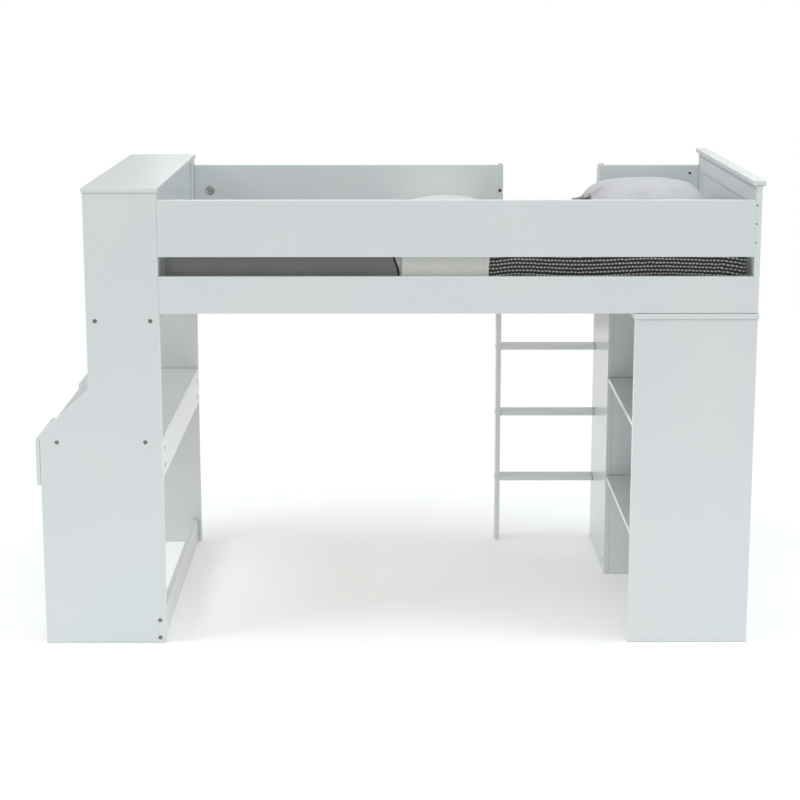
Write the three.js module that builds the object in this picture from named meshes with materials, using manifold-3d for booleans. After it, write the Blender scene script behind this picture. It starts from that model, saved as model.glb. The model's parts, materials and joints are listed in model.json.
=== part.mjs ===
// A twin loft bed: a desk with a hutch stands under its foot, a cabinet with open shelves and a cupboard
// under its head, and a ladder leans flat against its far side.
// Millimetres. X runs from the desk to the headboard, Y across the bed to the ladder side, Z up.
// Every place below is counted from the near bottom corner of the desk end; the last lines move the
// origin to the middle of the whole object's footprint.
import * as THREE from "three";
import { mergeVertices } from "three/addons/utils/BufferGeometryUtils.js";
import Module from "manifold-3d";

const wasm = await Module();
wasm.setup();

// ---- Boards and gaps ----
const TOUCH = 0.3; // between two pieces that touch
const BOARD = 19; // end panels, rails and cabinet sides
const SHELF_BOARD = 17; // shelves and rungs
const CAP_BOARD = 15; // the two moulded caps
const CAP_OVERHANG = 4; // a cap or a cabinet top past the boards under it

// ---- Mattress and the room around it ----
const MATTRESS_LENGTH = 1905;
const MATTRESS_WIDTH = 990;
const MATTRESS_HEIGHT = 150;
const MATTRESS_END_GAP = 28;
const MATTRESS_NEAR_GAP = 20; // the bedding hangs in it
const MATTRESS_FAR_GAP = 8;

// ---- Bed frame ----
const SIDE_RAIL_HEIGHT = 124;
const RAIL_GAP = 66; // open slot between a side rail and the guard rail above it
const GUARD_HEIGHT = 188;
const LEDGER_DEPTH = 25;
const LEDGER_HEIGHT = 29;
const LEDGER_RISE = 15; // above the side rail's lower edge
const SLAT_COUNT = 14;
const SLAT_WIDTH = 68;
const SLAT_BOARD = 13;
const SLAT_END_GAP = 6; // a slat's end to the side rail
const STRAP_WIDTH = 25;
const STRAP_THICKNESS = 1.5;
const STRAP_INSET = 230; // a strap's middle from the slats' ends

// ---- Headboard ----
const HEADBOARD_ABOVE_GUARD = 64;
const HEADBOARD_STILE = 65;
const HEADBOARD_RAIL = 68;
const HEADBOARD_PANEL = 9;
const HEADBOARD_CAP_OVERHANG = 11;

// ---- Desk and hutch ----
const DESK_DEPTH = 410;
const DESK_HEIGHT = 717;
const DESK_BOARD = 18;
const HUTCH_DEPTH = 242;
const HUTCH_ABOVE_GUARD = 40;
const HUTCH_FLOOR_DROP = 15; // the hutch floor's top below the side rails' lower edge
const SHOULDER_LIP = 20; // from the desk top up to where the end panel's front edge slopes back
const SHOULDER_RISE = 152; // how far the slope climbs to the hutch's front edge
const FOOT_CHAMFER = 6;
const APRON_HEIGHT = 119;
const STRETCHER_BOARD = 20;
const STRETCHER_HEIGHT = 90;
const STRETCHER_RISE = 5;
const STRETCHER_INSET = 12; // from the panel's inner edge
const FOOTBOARD_STILE = 80;
const FOOTBOARD_RECESS = 7;

// ---- Drawers ----
const DRAWER_WIDTH = 280;
const DRAWER_HEIGHT = 158;
const DRAWER_FRONT_BOARD = 14.2;
const DRAWER_BACK_GAP = 41; // behind a closed drawer, to the apron
const DRAWER_BOX_HEIGHT = 100;
const DRAWER_BOX_RISE = 14; // above the front's lower edge
const DRAWER_WALL = 12;
const DRAWER_FLOOR = 6;
const DRAWER_SIDE_GAP = 2;
const RUNNER_HEIGHT = 12;
const RUNNER_RISE = 40; // above the drawer box's underside
const RUNNER_BITE = 6; // how far a runner enters the groove in the drawer's side
const RUNNER_CLEARANCE = 0.6; // between a runner and its groove
const KNOB_RADIUS = 13;
const KNOB_LENGTH = 26;

// ---- Cabinet ----
const CABINET_HEIGHT = 1146;
const CABINET_WIDTH = 406;
const BOOKSHELF_WIDTH = 645; // across the bed, between its two ends
const SHELF_HEIGHTS = [390, 769];
const SHELF_SETBACK = 2;
const CUPBOARD_FLOOR_HEIGHT = 56;
const CUPBOARD_SHELF_HEIGHT = 570;
const DOOR_BOARD = 18;
const DOOR_GAP = 2;
const DOOR_RISE = 10;
const DOOR_KNOB_INSET = 36; // from the door's free edge
const DOOR_KNOB_HEIGHT = 640;
const HINGE_INSET = 170; // from the door's ends
const HINGE_LENGTH = 72;
const HINGE_LEAF_WIDTH = 22;
const HINGE_LEAF_THICKNESS = 1.5;
const HINGE_KNUCKLE_RADIUS = 3.6;
const HINGE_PIN_RADIUS = 1.6;
const HINGE_CLEARANCE = 0.1; // pin in knuckle, and knuckle beside knuckle
const HINGE_STAND_OFF = 4.5; // the pin's axis in front of the door's face

// ---- Ladder ----
const LADDER_CLEAR_WIDTH = 374; // between the stiles
const LADDER_STILE_BOARD = 18.5;
const LADDER_DEPTH = 68;
const LADDER_ABOVE_GUARD = 4;
const LADDER_TOP_RADIUS = 56;
const LADDER_GLIDE = 3; // room for the glide under each stile
const RUNG_COUNT = 4;
const RUNG_FIRST_TOP = 265;
const RUNG_PITCH = 269;
const RUNG_INSET = 1; // a rung's edges behind the stiles' edges

// ---- Bedding ----
const QUILT_START = 798; // from the foot of the bed frame
const QUILT_WIDTH = 304;
const QUILT_THICKNESS = 58;
const QUILT_DRAPE_THICKNESS = 13;
const THROW_THICKNESS = 8;
const BEDDING_GAP = 4; // quilt to throw
const DRAPE_DROP = 138; // how far the bedding hangs below the mattress top
const PILLOW_LENGTH = 660;
const PILLOW_WIDTH = 486;
const PILLOW_EXTRA = 20; // the lower pillow past the upper one, both ways
const PILLOW_HEAD_GAP = 10; // from the mattress's head end
const LOWER_PILLOW_HEIGHT = 76;
const UPPER_PILLOW_HEIGHT = 92;
const PILLOW_EDGE = 52; // width of a pillow's sloping edge

// ---- Places that several pieces share ----
const DEPTH = MATTRESS_WIDTH + MATTRESS_NEAR_GAP + MATTRESS_FAR_GAP + 2 * BOARD;
const INNER_NEAR = BOARD;
const INNER_FAR = DEPTH - BOARD;
const BED_START = DESK_DEPTH;
const BED_END = BED_START + MATTRESS_LENGTH + 2 * MATTRESS_END_GAP;
const SIDE_RAIL_TOP = CABINET_HEIGHT + SIDE_RAIL_HEIGHT;
const GUARD_BOTTOM = SIDE_RAIL_TOP + RAIL_GAP;
const GUARD_TOP = GUARD_BOTTOM + GUARD_HEIGHT;
const LEDGER_TOP = CABINET_HEIGHT + LEDGER_RISE + LEDGER_HEIGHT;
const HUTCH_HEIGHT = GUARD_TOP + HUTCH_ABOVE_GUARD;
const HUTCH_FLOOR_HEIGHT = CABINET_HEIGHT - HUTCH_FLOOR_DROP;
const HEADBOARD_HEIGHT = GUARD_TOP + HEADBOARD_ABOVE_GUARD;
const SHOULDER_HEIGHT = DESK_HEIGHT + SHOULDER_LIP;
const MATTRESS_BOTTOM = LEDGER_TOP + SLAT_BOARD + 2 * TOUCH;
const MATTRESS_TOP = MATTRESS_BOTTOM + MATTRESS_HEIGHT;
const MATTRESS_NEAR = INNER_NEAR + MATTRESS_NEAR_GAP;
const MATTRESS_FAR = INNER_FAR - MATTRESS_FAR_GAP;
const MATTRESS_FOOT = BED_START + MATTRESS_END_GAP;
const MATTRESS_HEAD = BED_END - MATTRESS_END_GAP;
const DESK_UNDERSIDE = DESK_HEIGHT - DESK_BOARD;
const HUTCH_FRONT = DESK_DEPTH - HUTCH_DEPTH;
const FOOTBOARD_BACK = DESK_DEPTH - BOARD;
const CABINET_END = BED_END + BOARD;
const CABINET_START = CABINET_END - CABINET_WIDTH;
const CABINET_UNDERSIDE = CABINET_HEIGHT - BOARD;
const CABINET_INNER = CABINET_END - BOARD;
const CUPBOARD_NEAR = INNER_NEAR + BOOKSHELF_WIDTH;
const LADDER_NEAR = DEPTH + TOUCH;
const RIGHT_STILE = CABINET_START;
const LEFT_STILE_END = RIGHT_STILE - LADDER_CLEAR_WIDTH;
const DRAWER_BOTTOM = DESK_HEIGHT - DRAWER_HEIGHT;
const DRAWER_DEPTH = FOOTBOARD_BACK - DRAWER_BACK_GAP;
const DOOR_START = CABINET_START + BOARD + DOOR_GAP;
const DOOR_END = CABINET_INNER - DOOR_GAP;
const DOOR_TOP = CABINET_UNDERSIDE - DOOR_GAP;
const HINGE_X = CABINET_INNER - DOOR_GAP / 2;
const HINGE_BOTTOMS = [DOOR_RISE + HINGE_INSET, DOOR_TOP - HINGE_INSET - HINGE_LENGTH];
const HINGE_Y = DEPTH + HINGE_STAND_OFF;

// ---- Finishes ----
const finish = (color, roughness, metalness = 0) =>
  new THREE.MeshStandardMaterial({ color, roughness, metalness });
const lacquer = finish("#dfe5e6", 0.35);
const plywood = finish("#d9c6a2", 0.7);
const steel = finish("#b9babb", 0.35, 1);
const sheetGrey = finish("#6f6d6b", 0.95);
const cream = finish("#ecece6", 0.95);
const charcoal = finish("#2f2f30", 0.95);
const lavender = finish("#c9c8ce", 0.9);

// ---- Making and placing ----
const loft = new THREE.Group();

function place(name, geometry, material, x = 0, y = 0, z = 0) {
  const mesh = new THREE.Mesh(geometry, material);
  mesh.name = name;
  mesh.position.set(x, y, z);
  loft.add(mesh);
}

// A box between three pairs of limits.
function boxBetween([x0, x1], [y0, y1], [z0, z1]) {
  const box = new THREE.BoxGeometry(x1 - x0, y1 - y0, z1 - z0);
  return box.translate((x0 + x1) / 2, (y0 + y1) / 2, (z0 + z1) / 2);
}

function board(name, x, y, z, material = lacquer) {
  place(name, boxBetween(x, y, z), material);
}

// An outline in X and Z, cut from a board that lies between two values of Y.
function cutInXZ(outline, [y0, y1]) {
  const geometry = new THREE.ExtrudeGeometry(outline, { depth: y1 - y0, bevelEnabled: false });
  return geometry.rotateX(Math.PI / 2).translate(0, y1, 0);
}

// An outline in Y and Z, cut from a board that lies between two values of X.
function cutInYZ(outline, [x0, x1], curveSegments = 8) {
  const options = { depth: x1 - x0, bevelEnabled: false, curveSegments };
  const geometry = new THREE.ExtrudeGeometry(outline, options);
  geometry.rotateX(Math.PI / 2).rotateZ(Math.PI / 2);
  return geometry.translate(x0, 0, 0);
}

function solid(geometry) {
  const bare = geometry.clone();
  bare.deleteAttribute("normal");
  bare.deleteAttribute("uv");
  const merged = mergeVertices(bare, 1e-4);
  return new wasm.Manifold(
    new wasm.Mesh({
      numProp: 3,
      vertProperties: new Float32Array(merged.attributes.position.array),
      triVerts: new Uint32Array(merged.index.array),
    }),
  );
}

function surface(made) {
  const { vertProperties, triVerts } = made.getMesh();
  const geometry = new THREE.BufferGeometry();
  geometry.setAttribute("position", new THREE.BufferAttribute(vertProperties, 3));
  geometry.setIndex(new THREE.BufferAttribute(triVerts, 1));
  geometry.computeVertexNormals();
  return geometry;
}

const join = (first, ...rest) => rest.reduce((all, next) => all.add(solid(next)), solid(first));
const cut = (made, ...tools) => tools.reduce((left, tool) => left.subtract(solid(tool)), made);

// ---- Desk and hutch ----

// The end panel is as deep as the desk below and as the hutch above, with a slope between the two.
function deskEndPanel(name, y) {
  const top = HUTCH_HEIGHT - CAP_BOARD - TOUCH;
  const outline = new THREE.Shape();
  outline.moveTo(0, 0);
  outline.lineTo(DESK_DEPTH - FOOT_CHAMFER, 0);
  outline.lineTo(DESK_DEPTH, FOOT_CHAMFER);
  outline.lineTo(DESK_DEPTH, top);
  outline.lineTo(HUTCH_FRONT, top);
  outline.lineTo(HUTCH_FRONT, SHOULDER_HEIGHT + SHOULDER_RISE);
  outline.lineTo(0, SHOULDER_HEIGHT);
  outline.closePath();
  place(name, cutInXZ(outline, y), lacquer);
}

function hutchCap() {
  const x = [HUTCH_FRONT - CAP_OVERHANG, DESK_DEPTH + CAP_OVERHANG];
  board("hutch_cap", x, [-CAP_OVERHANG, DEPTH + CAP_OVERHANG], [HUTCH_HEIGHT - CAP_BOARD, HUTCH_HEIGHT]);
}

const betweenEnds = [INNER_NEAR + TOUCH, INNER_FAR - TOUCH];

function hutchFloor() {
  const z = [HUTCH_FLOOR_HEIGHT - DESK_BOARD, HUTCH_FLOOR_HEIGHT];
  board("hutch_floor", [HUTCH_FRONT, DESK_DEPTH], betweenEnds, z);
}

// One board that closes the hutch's back and is the bed's footboard: a sunk field between two stiles.
function footboardPanel() {
  const z = [HUTCH_FLOOR_HEIGHT + TOUCH, HUTCH_HEIGHT - CAP_BOARD - TOUCH];
  const whole = solid(boxBetween([FOOTBOARD_BACK, DESK_DEPTH], betweenEnds, z));
  const field = boxBetween(
    [DESK_DEPTH - FOOTBOARD_RECESS, DESK_DEPTH + BOARD],
    [INNER_NEAR + FOOTBOARD_STILE, INNER_FAR - FOOTBOARD_STILE],
    [z[0] - BOARD, z[1] + BOARD],
  );
  place("footboard_panel", surface(cut(whole, field)), lacquer);
}

function deskTop() {
  board("desk_top", [0, DESK_DEPTH], betweenEnds, [DESK_UNDERSIDE, DESK_HEIGHT]);
}

function deskApron() {
  const z = [DESK_UNDERSIDE - APRON_HEIGHT, DESK_UNDERSIDE - TOUCH];
  board("desk_apron", [FOOTBOARD_BACK, DESK_DEPTH], betweenEnds, z);
}

function floorStretcher() {
  const end = DESK_DEPTH - STRETCHER_INSET;
  const z = [STRETCHER_RISE, STRETCHER_RISE + STRETCHER_HEIGHT];
  board("floor_stretcher", [end - STRETCHER_BOARD, end], betweenEnds, z);
}

// ---- Drawers, one at each end of the desk ----

// Everything about a drawer is given across the bed from its outer end panel inwards, so `across` turns
// such a pair of distances into limits on Y for the near drawer or, mirrored, for the far one.
const nearAcross = (from, to) => [from, to];
const farAcross = (from, to) => [DEPTH - to, DEPTH - from];

const PARTITION = DRAWER_WIDTH - BOARD;
const BOX_BOTTOM = DRAWER_BOTTOM + DRAWER_BOX_RISE;
const RUNNER_BOTTOM = BOX_BOTTOM + RUNNER_RISE;

function drawerPartition(side, across) {
  const x = [0, FOOTBOARD_BACK - TOUCH];
  const z = [DRAWER_BOTTOM, DESK_UNDERSIDE - TOUCH];
  board(`drawer_partition_${side}`, x, across(PARTITION, DRAWER_WIDTH), z);
}

function drawerFront(side, across) {
  const x = [-TOUCH - DRAWER_FRONT_BOARD, -TOUCH];
  board(`drawer_front_${side}`, x, across(0, DRAWER_WIDTH), [DRAWER_BOTTOM, DESK_HEIGHT]);
}

// A tray open at the top, with a groove along each side for its runner.
function drawerBox(side, across) {
  const low = BOARD + DRAWER_SIDE_GAP;
  const high = PARTITION - DRAWER_SIDE_GAP;
  const top = BOX_BOTTOM + DRAWER_BOX_HEIGHT;
  const x = [0, DRAWER_DEPTH];
  const inside = boxBetween(
    [x[0] + DRAWER_WALL, x[1] - DRAWER_WALL],
    across(low + DRAWER_WALL, high - DRAWER_WALL),
    [BOX_BOTTOM + DRAWER_FLOOR, top + DRAWER_WALL],
  );
  const bite = RUNNER_BITE + RUNNER_CLEARANCE;
  const grooveX = [x[0] + DRAWER_WALL, x[1] + DRAWER_WALL];
  const grooveZ = [RUNNER_BOTTOM - RUNNER_CLEARANCE, RUNNER_BOTTOM + RUNNER_HEIGHT + RUNNER_CLEARANCE];
  const outerGroove = boxBetween(grooveX, across(low - BOARD, low + bite), grooveZ);
  const innerGroove = boxBetween(grooveX, across(high - bite, high + BOARD), grooveZ);
  const block = solid(boxBetween(x, across(low, high), [BOX_BOTTOM, top]));
  place(`drawer_box_${side}`, surface(cut(block, inside, outerGroove, innerGroove)), plywood);
}

function drawerRunners(side, across) {
  const x = [DRAWER_WALL + RUNNER_CLEARANCE, FOOTBOARD_BACK - TOUCH];
  const z = [RUNNER_BOTTOM, RUNNER_BOTTOM + RUNNER_HEIGHT];
  const reach = DRAWER_SIDE_GAP + RUNNER_BITE;
  board(`drawer_runner_${side}_outer`, x, across(BOARD + TOUCH, BOARD + reach), z, plywood);
  board(`drawer_runner_${side}_inner`, x, across(PARTITION - reach, PARTITION - TOUCH), z, plywood);
}

// A turned knob along +Y from the face it is screwed to: a foot, a neck and a domed head.
function knobGeometry() {
  const profile = new THREE.Path();
  profile.moveTo(0, 0);
  profile.lineTo(KNOB_RADIUS * 0.62, 0);
  profile.lineTo(KNOB_RADIUS * 0.42, KNOB_LENGTH * 0.3);
  profile.quadraticCurveTo(KNOB_RADIUS * 0.45, KNOB_LENGTH * 0.5, KNOB_RADIUS, KNOB_LENGTH * 0.62);
  profile.quadraticCurveTo(KNOB_RADIUS, KNOB_LENGTH * 0.95, 0, KNOB_LENGTH);
  return new THREE.LatheGeometry(profile.getPoints(5), 24);
}

function drawerKnob(side, across) {
  const [low, high] = across(0, DRAWER_WIDTH);
  const x = -2 * TOUCH - DRAWER_FRONT_BOARD;
  const z = DRAWER_BOTTOM + DRAWER_HEIGHT / 2;
  place(`drawer_knob_${side}`, knobGeometry().rotateZ(Math.PI / 2), steel, x, (low + high) / 2, z);
}

// ---- Bed frame ----

const bedSpan = [BED_START + TOUCH, BED_END - TOUCH];
const nearRail = [0, BOARD];
const farRail = [DEPTH - BOARD, DEPTH];

function sideRails() {
  const z = [CABINET_HEIGHT + TOUCH, SIDE_RAIL_TOP];
  board("side_rail_near", bedSpan, nearRail, z);
  board("side_rail_far", bedSpan, farRail, z);
}

function guardRails() {
  const z = [GUARD_BOTTOM, GUARD_TOP];
  board("guard_rail_near", bedSpan, nearRail, z);
  board("guard_rail_far_long", [bedSpan[0], LEFT_STILE_END], farRail, z);
  board("guard_rail_far_short", [RIGHT_STILE, bedSpan[1]], farRail, z);
}

function slatLedgers() {
  const z = [LEDGER_TOP - LEDGER_HEIGHT, LEDGER_TOP];
  const near = INNER_NEAR + TOUCH;
  const far = INNER_FAR - TOUCH;
  board("slat_ledger_near", bedSpan, [near, near + LEDGER_DEPTH], z, plywood);
  board("slat_ledger_far", bedSpan, [far - LEDGER_DEPTH, far], z, plywood);
}

// Slats stapled to two webbing straps, so that they roll up as one piece.
function slatRoll() {
  const z0 = LEDGER_TOP + TOUCH;
  const ends = [INNER_NEAR + SLAT_END_GAP, INNER_FAR - SLAT_END_GAP];
  const pitch = (BED_END - BED_START - 2 * SLAT_END_GAP - SLAT_WIDTH) / (SLAT_COUNT - 1);
  const pieces = [];
  for (let i = 0; i < SLAT_COUNT; i++) {
    const x = BED_START + SLAT_END_GAP + i * pitch;
    pieces.push(boxBetween([x, x + SLAT_WIDTH], ends, [z0, z0 + SLAT_BOARD]));
  }
  const strapX = [BED_START + 2 * SLAT_END_GAP, BED_END - 2 * SLAT_END_GAP];
  for (const middle of [ends[0] + STRAP_INSET, ends[1] - STRAP_INSET]) {
    const y = [middle - STRAP_WIDTH / 2, middle + STRAP_WIDTH / 2];
    pieces.push(boxBetween(strapX, y, [z0 - STRAP_THICKNESS, z0 + STRAP_THICKNESS]));
  }
  place("slat_roll", surface(join(...pieces)), plywood);
}

// ---- Headboard, standing on the cabinet ----

function headboard() {
  const x = [BED_END, CABINET_END];
  const bottom = CABINET_HEIGHT + TOUCH;
  const top = HEADBOARD_HEIGHT - CAP_BOARD - TOUCH;
  const inner = [HEADBOARD_STILE + TOUCH, DEPTH - HEADBOARD_STILE - TOUCH];
  board("headboard_stile_near", x, [0, HEADBOARD_STILE], [bottom, top]);
  board("headboard_stile_far", x, [DEPTH - HEADBOARD_STILE, DEPTH], [bottom, top]);
  board("headboard_rail_top", x, inner, [top - HEADBOARD_RAIL, top]);
  board("headboard_rail_bottom", x, inner, [bottom, bottom + HEADBOARD_RAIL]);
  const middle = (x[0] + x[1]) / 2;
  const panelX = [middle - HEADBOARD_PANEL / 2, middle + HEADBOARD_PANEL / 2];
  board("headboard_panel", panelX, inner, [bottom + HEADBOARD_RAIL + TOUCH, top - HEADBOARD_RAIL - TOUCH]);
}

function headboardCap() {
  const x = [BED_END - HEADBOARD_CAP_OVERHANG, CABINET_END + HEADBOARD_CAP_OVERHANG];
  const y = [-CAP_OVERHANG, DEPTH + CAP_OVERHANG];
  board("headboard_cap", x, y, [HEADBOARD_HEIGHT - CAP_BOARD, HEADBOARD_HEIGHT]);
}

// ---- Cabinet: open shelves on the near side, a cupboard on the far side ----

const cabinetWall = [0, CABINET_UNDERSIDE - TOUCH];

function cabinetTop() {
  const x = [CABINET_START - CAP_OVERHANG, CABINET_END + CAP_OVERHANG];
  board("cabinet_top", x, [-CAP_OVERHANG, DEPTH], [CABINET_UNDERSIDE, CABINET_HEIGHT]);
}

function cabinetWalls() {
  const inner = CABINET_INNER - TOUCH;
  const divider = [CUPBOARD_NEAR, CUPBOARD_NEAR + BOARD];
  board("cabinet_end_near", [CABINET_START, CABINET_END], [0, BOARD], cabinetWall);
  board("cabinet_back", [CABINET_INNER, CABINET_END], [BOARD + TOUCH, DEPTH], cabinetWall);
  board("cabinet_divider", [CABINET_START + BOARD + TOUCH, inner], divider, cabinetWall);
  board("cupboard_side", [CABINET_START, CABINET_START + BOARD], [CUPBOARD_NEAR, DEPTH], cabinetWall);
}

function bookshelves() {
  const x = [CABINET_START + SHELF_SETBACK, CABINET_INNER - TOUCH];
  const y = [INNER_NEAR + TOUCH, CUPBOARD_NEAR - TOUCH];
  SHELF_HEIGHTS.forEach((top, i) => {
    board(["bookshelf_lower", "bookshelf_upper"][i], x, y, [top - SHELF_BOARD, top]);
  });
}

function cupboardShelves() {
  const x = [CABINET_START + BOARD + TOUCH, CABINET_INNER - TOUCH];
  const y = [CUPBOARD_NEAR + BOARD + TOUCH, DEPTH - DOOR_BOARD - DOOR_GAP];
  const places = { cupboard_floor: CUPBOARD_FLOOR_HEIGHT, cupboard_shelf: CUPBOARD_SHELF_HEIGHT };
  for (const [name, top] of Object.entries(places)) board(name, x, y, [top - SHELF_BOARD, top]);
}

function cupboardDoor() {
  board("cupboard_door", [DOOR_START, DOOR_END], [DEPTH - DOOR_BOARD, DEPTH], [DOOR_RISE, DOOR_TOP]);
  const x = DOOR_START + DOOR_KNOB_INSET;
  place("cupboard_knob", knobGeometry(), steel, x, DEPTH + TOUCH, DOOR_KNOB_HEIGHT);
}

// A knuckle is a tube around the hinge's pin.
function knuckle([z0, z1]) {
  const tube = new THREE.LatheGeometry(
    [
      new THREE.Vector2(HINGE_PIN_RADIUS + HINGE_CLEARANCE, z0),
      new THREE.Vector2(HINGE_KNUCKLE_RADIUS, z0),
      new THREE.Vector2(HINGE_KNUCKLE_RADIUS, z1),
      new THREE.Vector2(HINGE_PIN_RADIUS + HINGE_CLEARANCE, z1),
      new THREE.Vector2(HINGE_PIN_RADIUS + HINGE_CLEARANCE, z0),
    ],
    24,
  );
  return tube.rotateX(Math.PI / 2).translate(HINGE_X, HINGE_Y, 0);
}

// A leaf: a plate on one side of the axis (-1 the door, 1 the cabinet) with a tongue to each knuckle.
// The plate stops short of the other leaf's knuckles.
function hingeLeaf(side, z, knuckles) {
  const y = [DEPTH + TOUCH, DEPTH + TOUCH + HINGE_LEAF_THICKNESS];
  const near = HINGE_X + side * (HINGE_KNUCKLE_RADIUS + 2 * TOUCH);
  const outer = HINGE_X + side * HINGE_LEAF_WIDTH;
  const rim = HINGE_X + side * (HINGE_PIN_RADIUS + HINGE_CLEARANCE);
  const inOrder = (a, b) => [Math.min(a, b), Math.max(a, b)];
  const tongueY = [y[0], HINGE_Y];
  const tongues = knuckles.map((span) => boxBetween(inOrder(near, rim), tongueY, span));
  const rimTubes = knuckles.map(knuckle);
  const plate = boxBetween(inOrder(near - side * TOUCH, outer), y, z);
  const bore = new THREE.CylinderGeometry(
    HINGE_PIN_RADIUS + HINGE_CLEARANCE,
    HINGE_PIN_RADIUS + HINGE_CLEARANCE,
    2 * HINGE_LENGTH,
    24,
  );
  bore.rotateX(Math.PI / 2).translate(HINGE_X, HINGE_Y, (z[0] + z[1]) / 2);
  return cut(join(plate, ...tongues, ...rimTubes), bore);
}

// The cabinet's leaf carries the two outer knuckles and the pin, riveted over at both ends; the door's
// leaf turns on the pin between them.
function cupboardHinges() {
  HINGE_BOTTOMS.forEach((bottom, i) => {
    const label = ["lower", "upper"][i];
    const z = [bottom, bottom + HINGE_LENGTH];
    const third = HINGE_LENGTH / 3;
    const outerKnuckles = [
      [z[0], z[0] + third - HINGE_CLEARANCE],
      [z[1] - third + HINGE_CLEARANCE, z[1]],
    ];
    const middleKnuckle = [[z[0] + third + HINGE_CLEARANCE, z[1] - third - HINGE_CLEARANCE]];
    const rivet = HINGE_CLEARANCE + HINGE_LEAF_THICKNESS;
    const pin = new THREE.CylinderGeometry(HINGE_PIN_RADIUS, HINGE_PIN_RADIUS, HINGE_LENGTH + rivet, 24);
    pin.rotateX(Math.PI / 2).translate(HINGE_X, HINGE_Y, (z[0] + z[1]) / 2);
    const heads = [z[0] - rivet, z[1]].map((low) => {
      const head = new THREE.CylinderGeometry(HINGE_KNUCKLE_RADIUS, HINGE_KNUCKLE_RADIUS, rivet, 24);
      return head.rotateX(Math.PI / 2).translate(HINGE_X, HINGE_Y, low + rivet / 2);
    });
    const fixed = hingeLeaf(1, z, outerKnuckles).add(join(pin, ...heads));
    place(`hinge_${label}_cabinet_leaf`, surface(fixed), steel);
    place(`hinge_${label}_door_leaf`, surface(hingeLeaf(-1, z, middleKnuckle)), steel);
  });
}

// ---- Ladder ----

// The stile's top corner away from the bed is rounded.
function ladderStile(name, x) {
  const far = LADDER_NEAR + LADDER_DEPTH;
  const top = GUARD_TOP + LADDER_ABOVE_GUARD;
  const outline = new THREE.Shape();
  outline.moveTo(LADDER_NEAR, LADDER_GLIDE);
  outline.lineTo(far, LADDER_GLIDE);
  outline.lineTo(far, top - LADDER_TOP_RADIUS);
  outline.absarc(far - LADDER_TOP_RADIUS, top - LADDER_TOP_RADIUS, LADDER_TOP_RADIUS, 0, Math.PI / 2);
  outline.lineTo(LADDER_NEAR, top);
  outline.closePath();
  place(name, cutInYZ(outline, x), lacquer);
}

function ladderRungs() {
  const x = [LEFT_STILE_END + TOUCH, RIGHT_STILE - TOUCH];
  const y = [LADDER_NEAR + RUNG_INSET, LADDER_NEAR + LADDER_DEPTH - RUNG_INSET];
  for (let i = 0; i < RUNG_COUNT; i++) {
    const top = RUNG_FIRST_TOP + i * RUNG_PITCH;
    board(`ladder_rung_${i + 1}`, x, y, [top - SHELF_BOARD, top]);
  }
}

// ---- Bedding ----

function mattress() {
  const x = [MATTRESS_FOOT, MATTRESS_HEAD];
  board("mattress", x, [MATTRESS_NEAR, MATTRESS_FAR], [MATTRESS_BOTTOM, MATTRESS_TOP], sheetGrey);
}

const QUILT_END = BED_START + QUILT_START + QUILT_WIDTH;

// The quilt lies folded across the mattress and hangs down its near side.
function foldedQuilt() {
  const x = [BED_START + QUILT_START, QUILT_END];
  const near = MATTRESS_NEAR - TOUCH;
  const top = boxBetween(
    x,
    [near - QUILT_DRAPE_THICKNESS, MATTRESS_FAR - BEDDING_GAP],
    [MATTRESS_TOP + TOUCH, MATTRESS_TOP + QUILT_THICKNESS],
  );
  const drape = boxBetween(
    x,
    [near - QUILT_DRAPE_THICKNESS, near],
    [MATTRESS_TOP - DRAPE_DROP, MATTRESS_TOP + QUILT_DRAPE_THICKNESS],
  );
  place("folded_quilt", surface(join(top, drape)), cream);
}

// The throw covers the head half of the mattress and hangs down its near side and its head end.
function wovenThrow() {
  const near = MATTRESS_NEAR - TOUCH;
  const head = MATTRESS_HEAD + TOUCH;
  const start = QUILT_END + BEDDING_GAP;
  const cover = solid(
    boxBetween(
      [start, head + THROW_THICKNESS],
      [near - THROW_THICKNESS, MATTRESS_FAR - BEDDING_GAP],
      [MATTRESS_TOP - DRAPE_DROP, MATTRESS_TOP + TOUCH + THROW_THICKNESS],
    ),
  );
  const underneath = boxBetween(
    [start - BOARD, head],
    [near, MATTRESS_FAR + BOARD],
    [MATTRESS_BOTTOM, MATTRESS_TOP + TOUCH],
  );
  place("woven_throw", surface(cut(cover, underneath)), charcoal);
}

// A pillow is widest at half its height, with sloping edges above and below.
function pillow(name, width, length, [z0, z1], material) {
  const middle = MATTRESS_HEAD - PILLOW_HEAD_GAP - PILLOW_WIDTH / 2;
  const halfX = width / 2 - PILLOW_EDGE;
  const halfY = length / 2 - PILLOW_EDGE;
  const outline = new THREE.Shape();
  outline.moveTo(-halfX, -halfY);
  outline.lineTo(halfX, -halfY);
  outline.lineTo(halfX, halfY);
  outline.lineTo(-halfX, halfY);
  outline.closePath();
  const rise = (z1 - z0) / 3;
  const geometry = new THREE.ExtrudeGeometry(outline, {
    depth: z1 - z0 - 2 * rise,
    bevelThickness: rise,
    bevelSize: PILLOW_EDGE,
    bevelSegments: 4,
  });
  place(name, geometry, material, middle, DEPTH / 2, z0 + rise);
}

function pillows() {
  const bottom = MATTRESS_TOP + THROW_THICKNESS + 2 * TOUCH;
  const seam = bottom + LOWER_PILLOW_HEIGHT;
  const lower = [bottom, seam];
  const upper = [seam + TOUCH, seam + TOUCH + UPPER_PILLOW_HEIGHT];
  pillow("pillow_lower", PILLOW_WIDTH + PILLOW_EXTRA, PILLOW_LENGTH + PILLOW_EXTRA, lower, cream);
  pillow("pillow_upper", PILLOW_WIDTH, PILLOW_LENGTH, upper, lavender);
}

// ---- The whole bed ----

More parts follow.
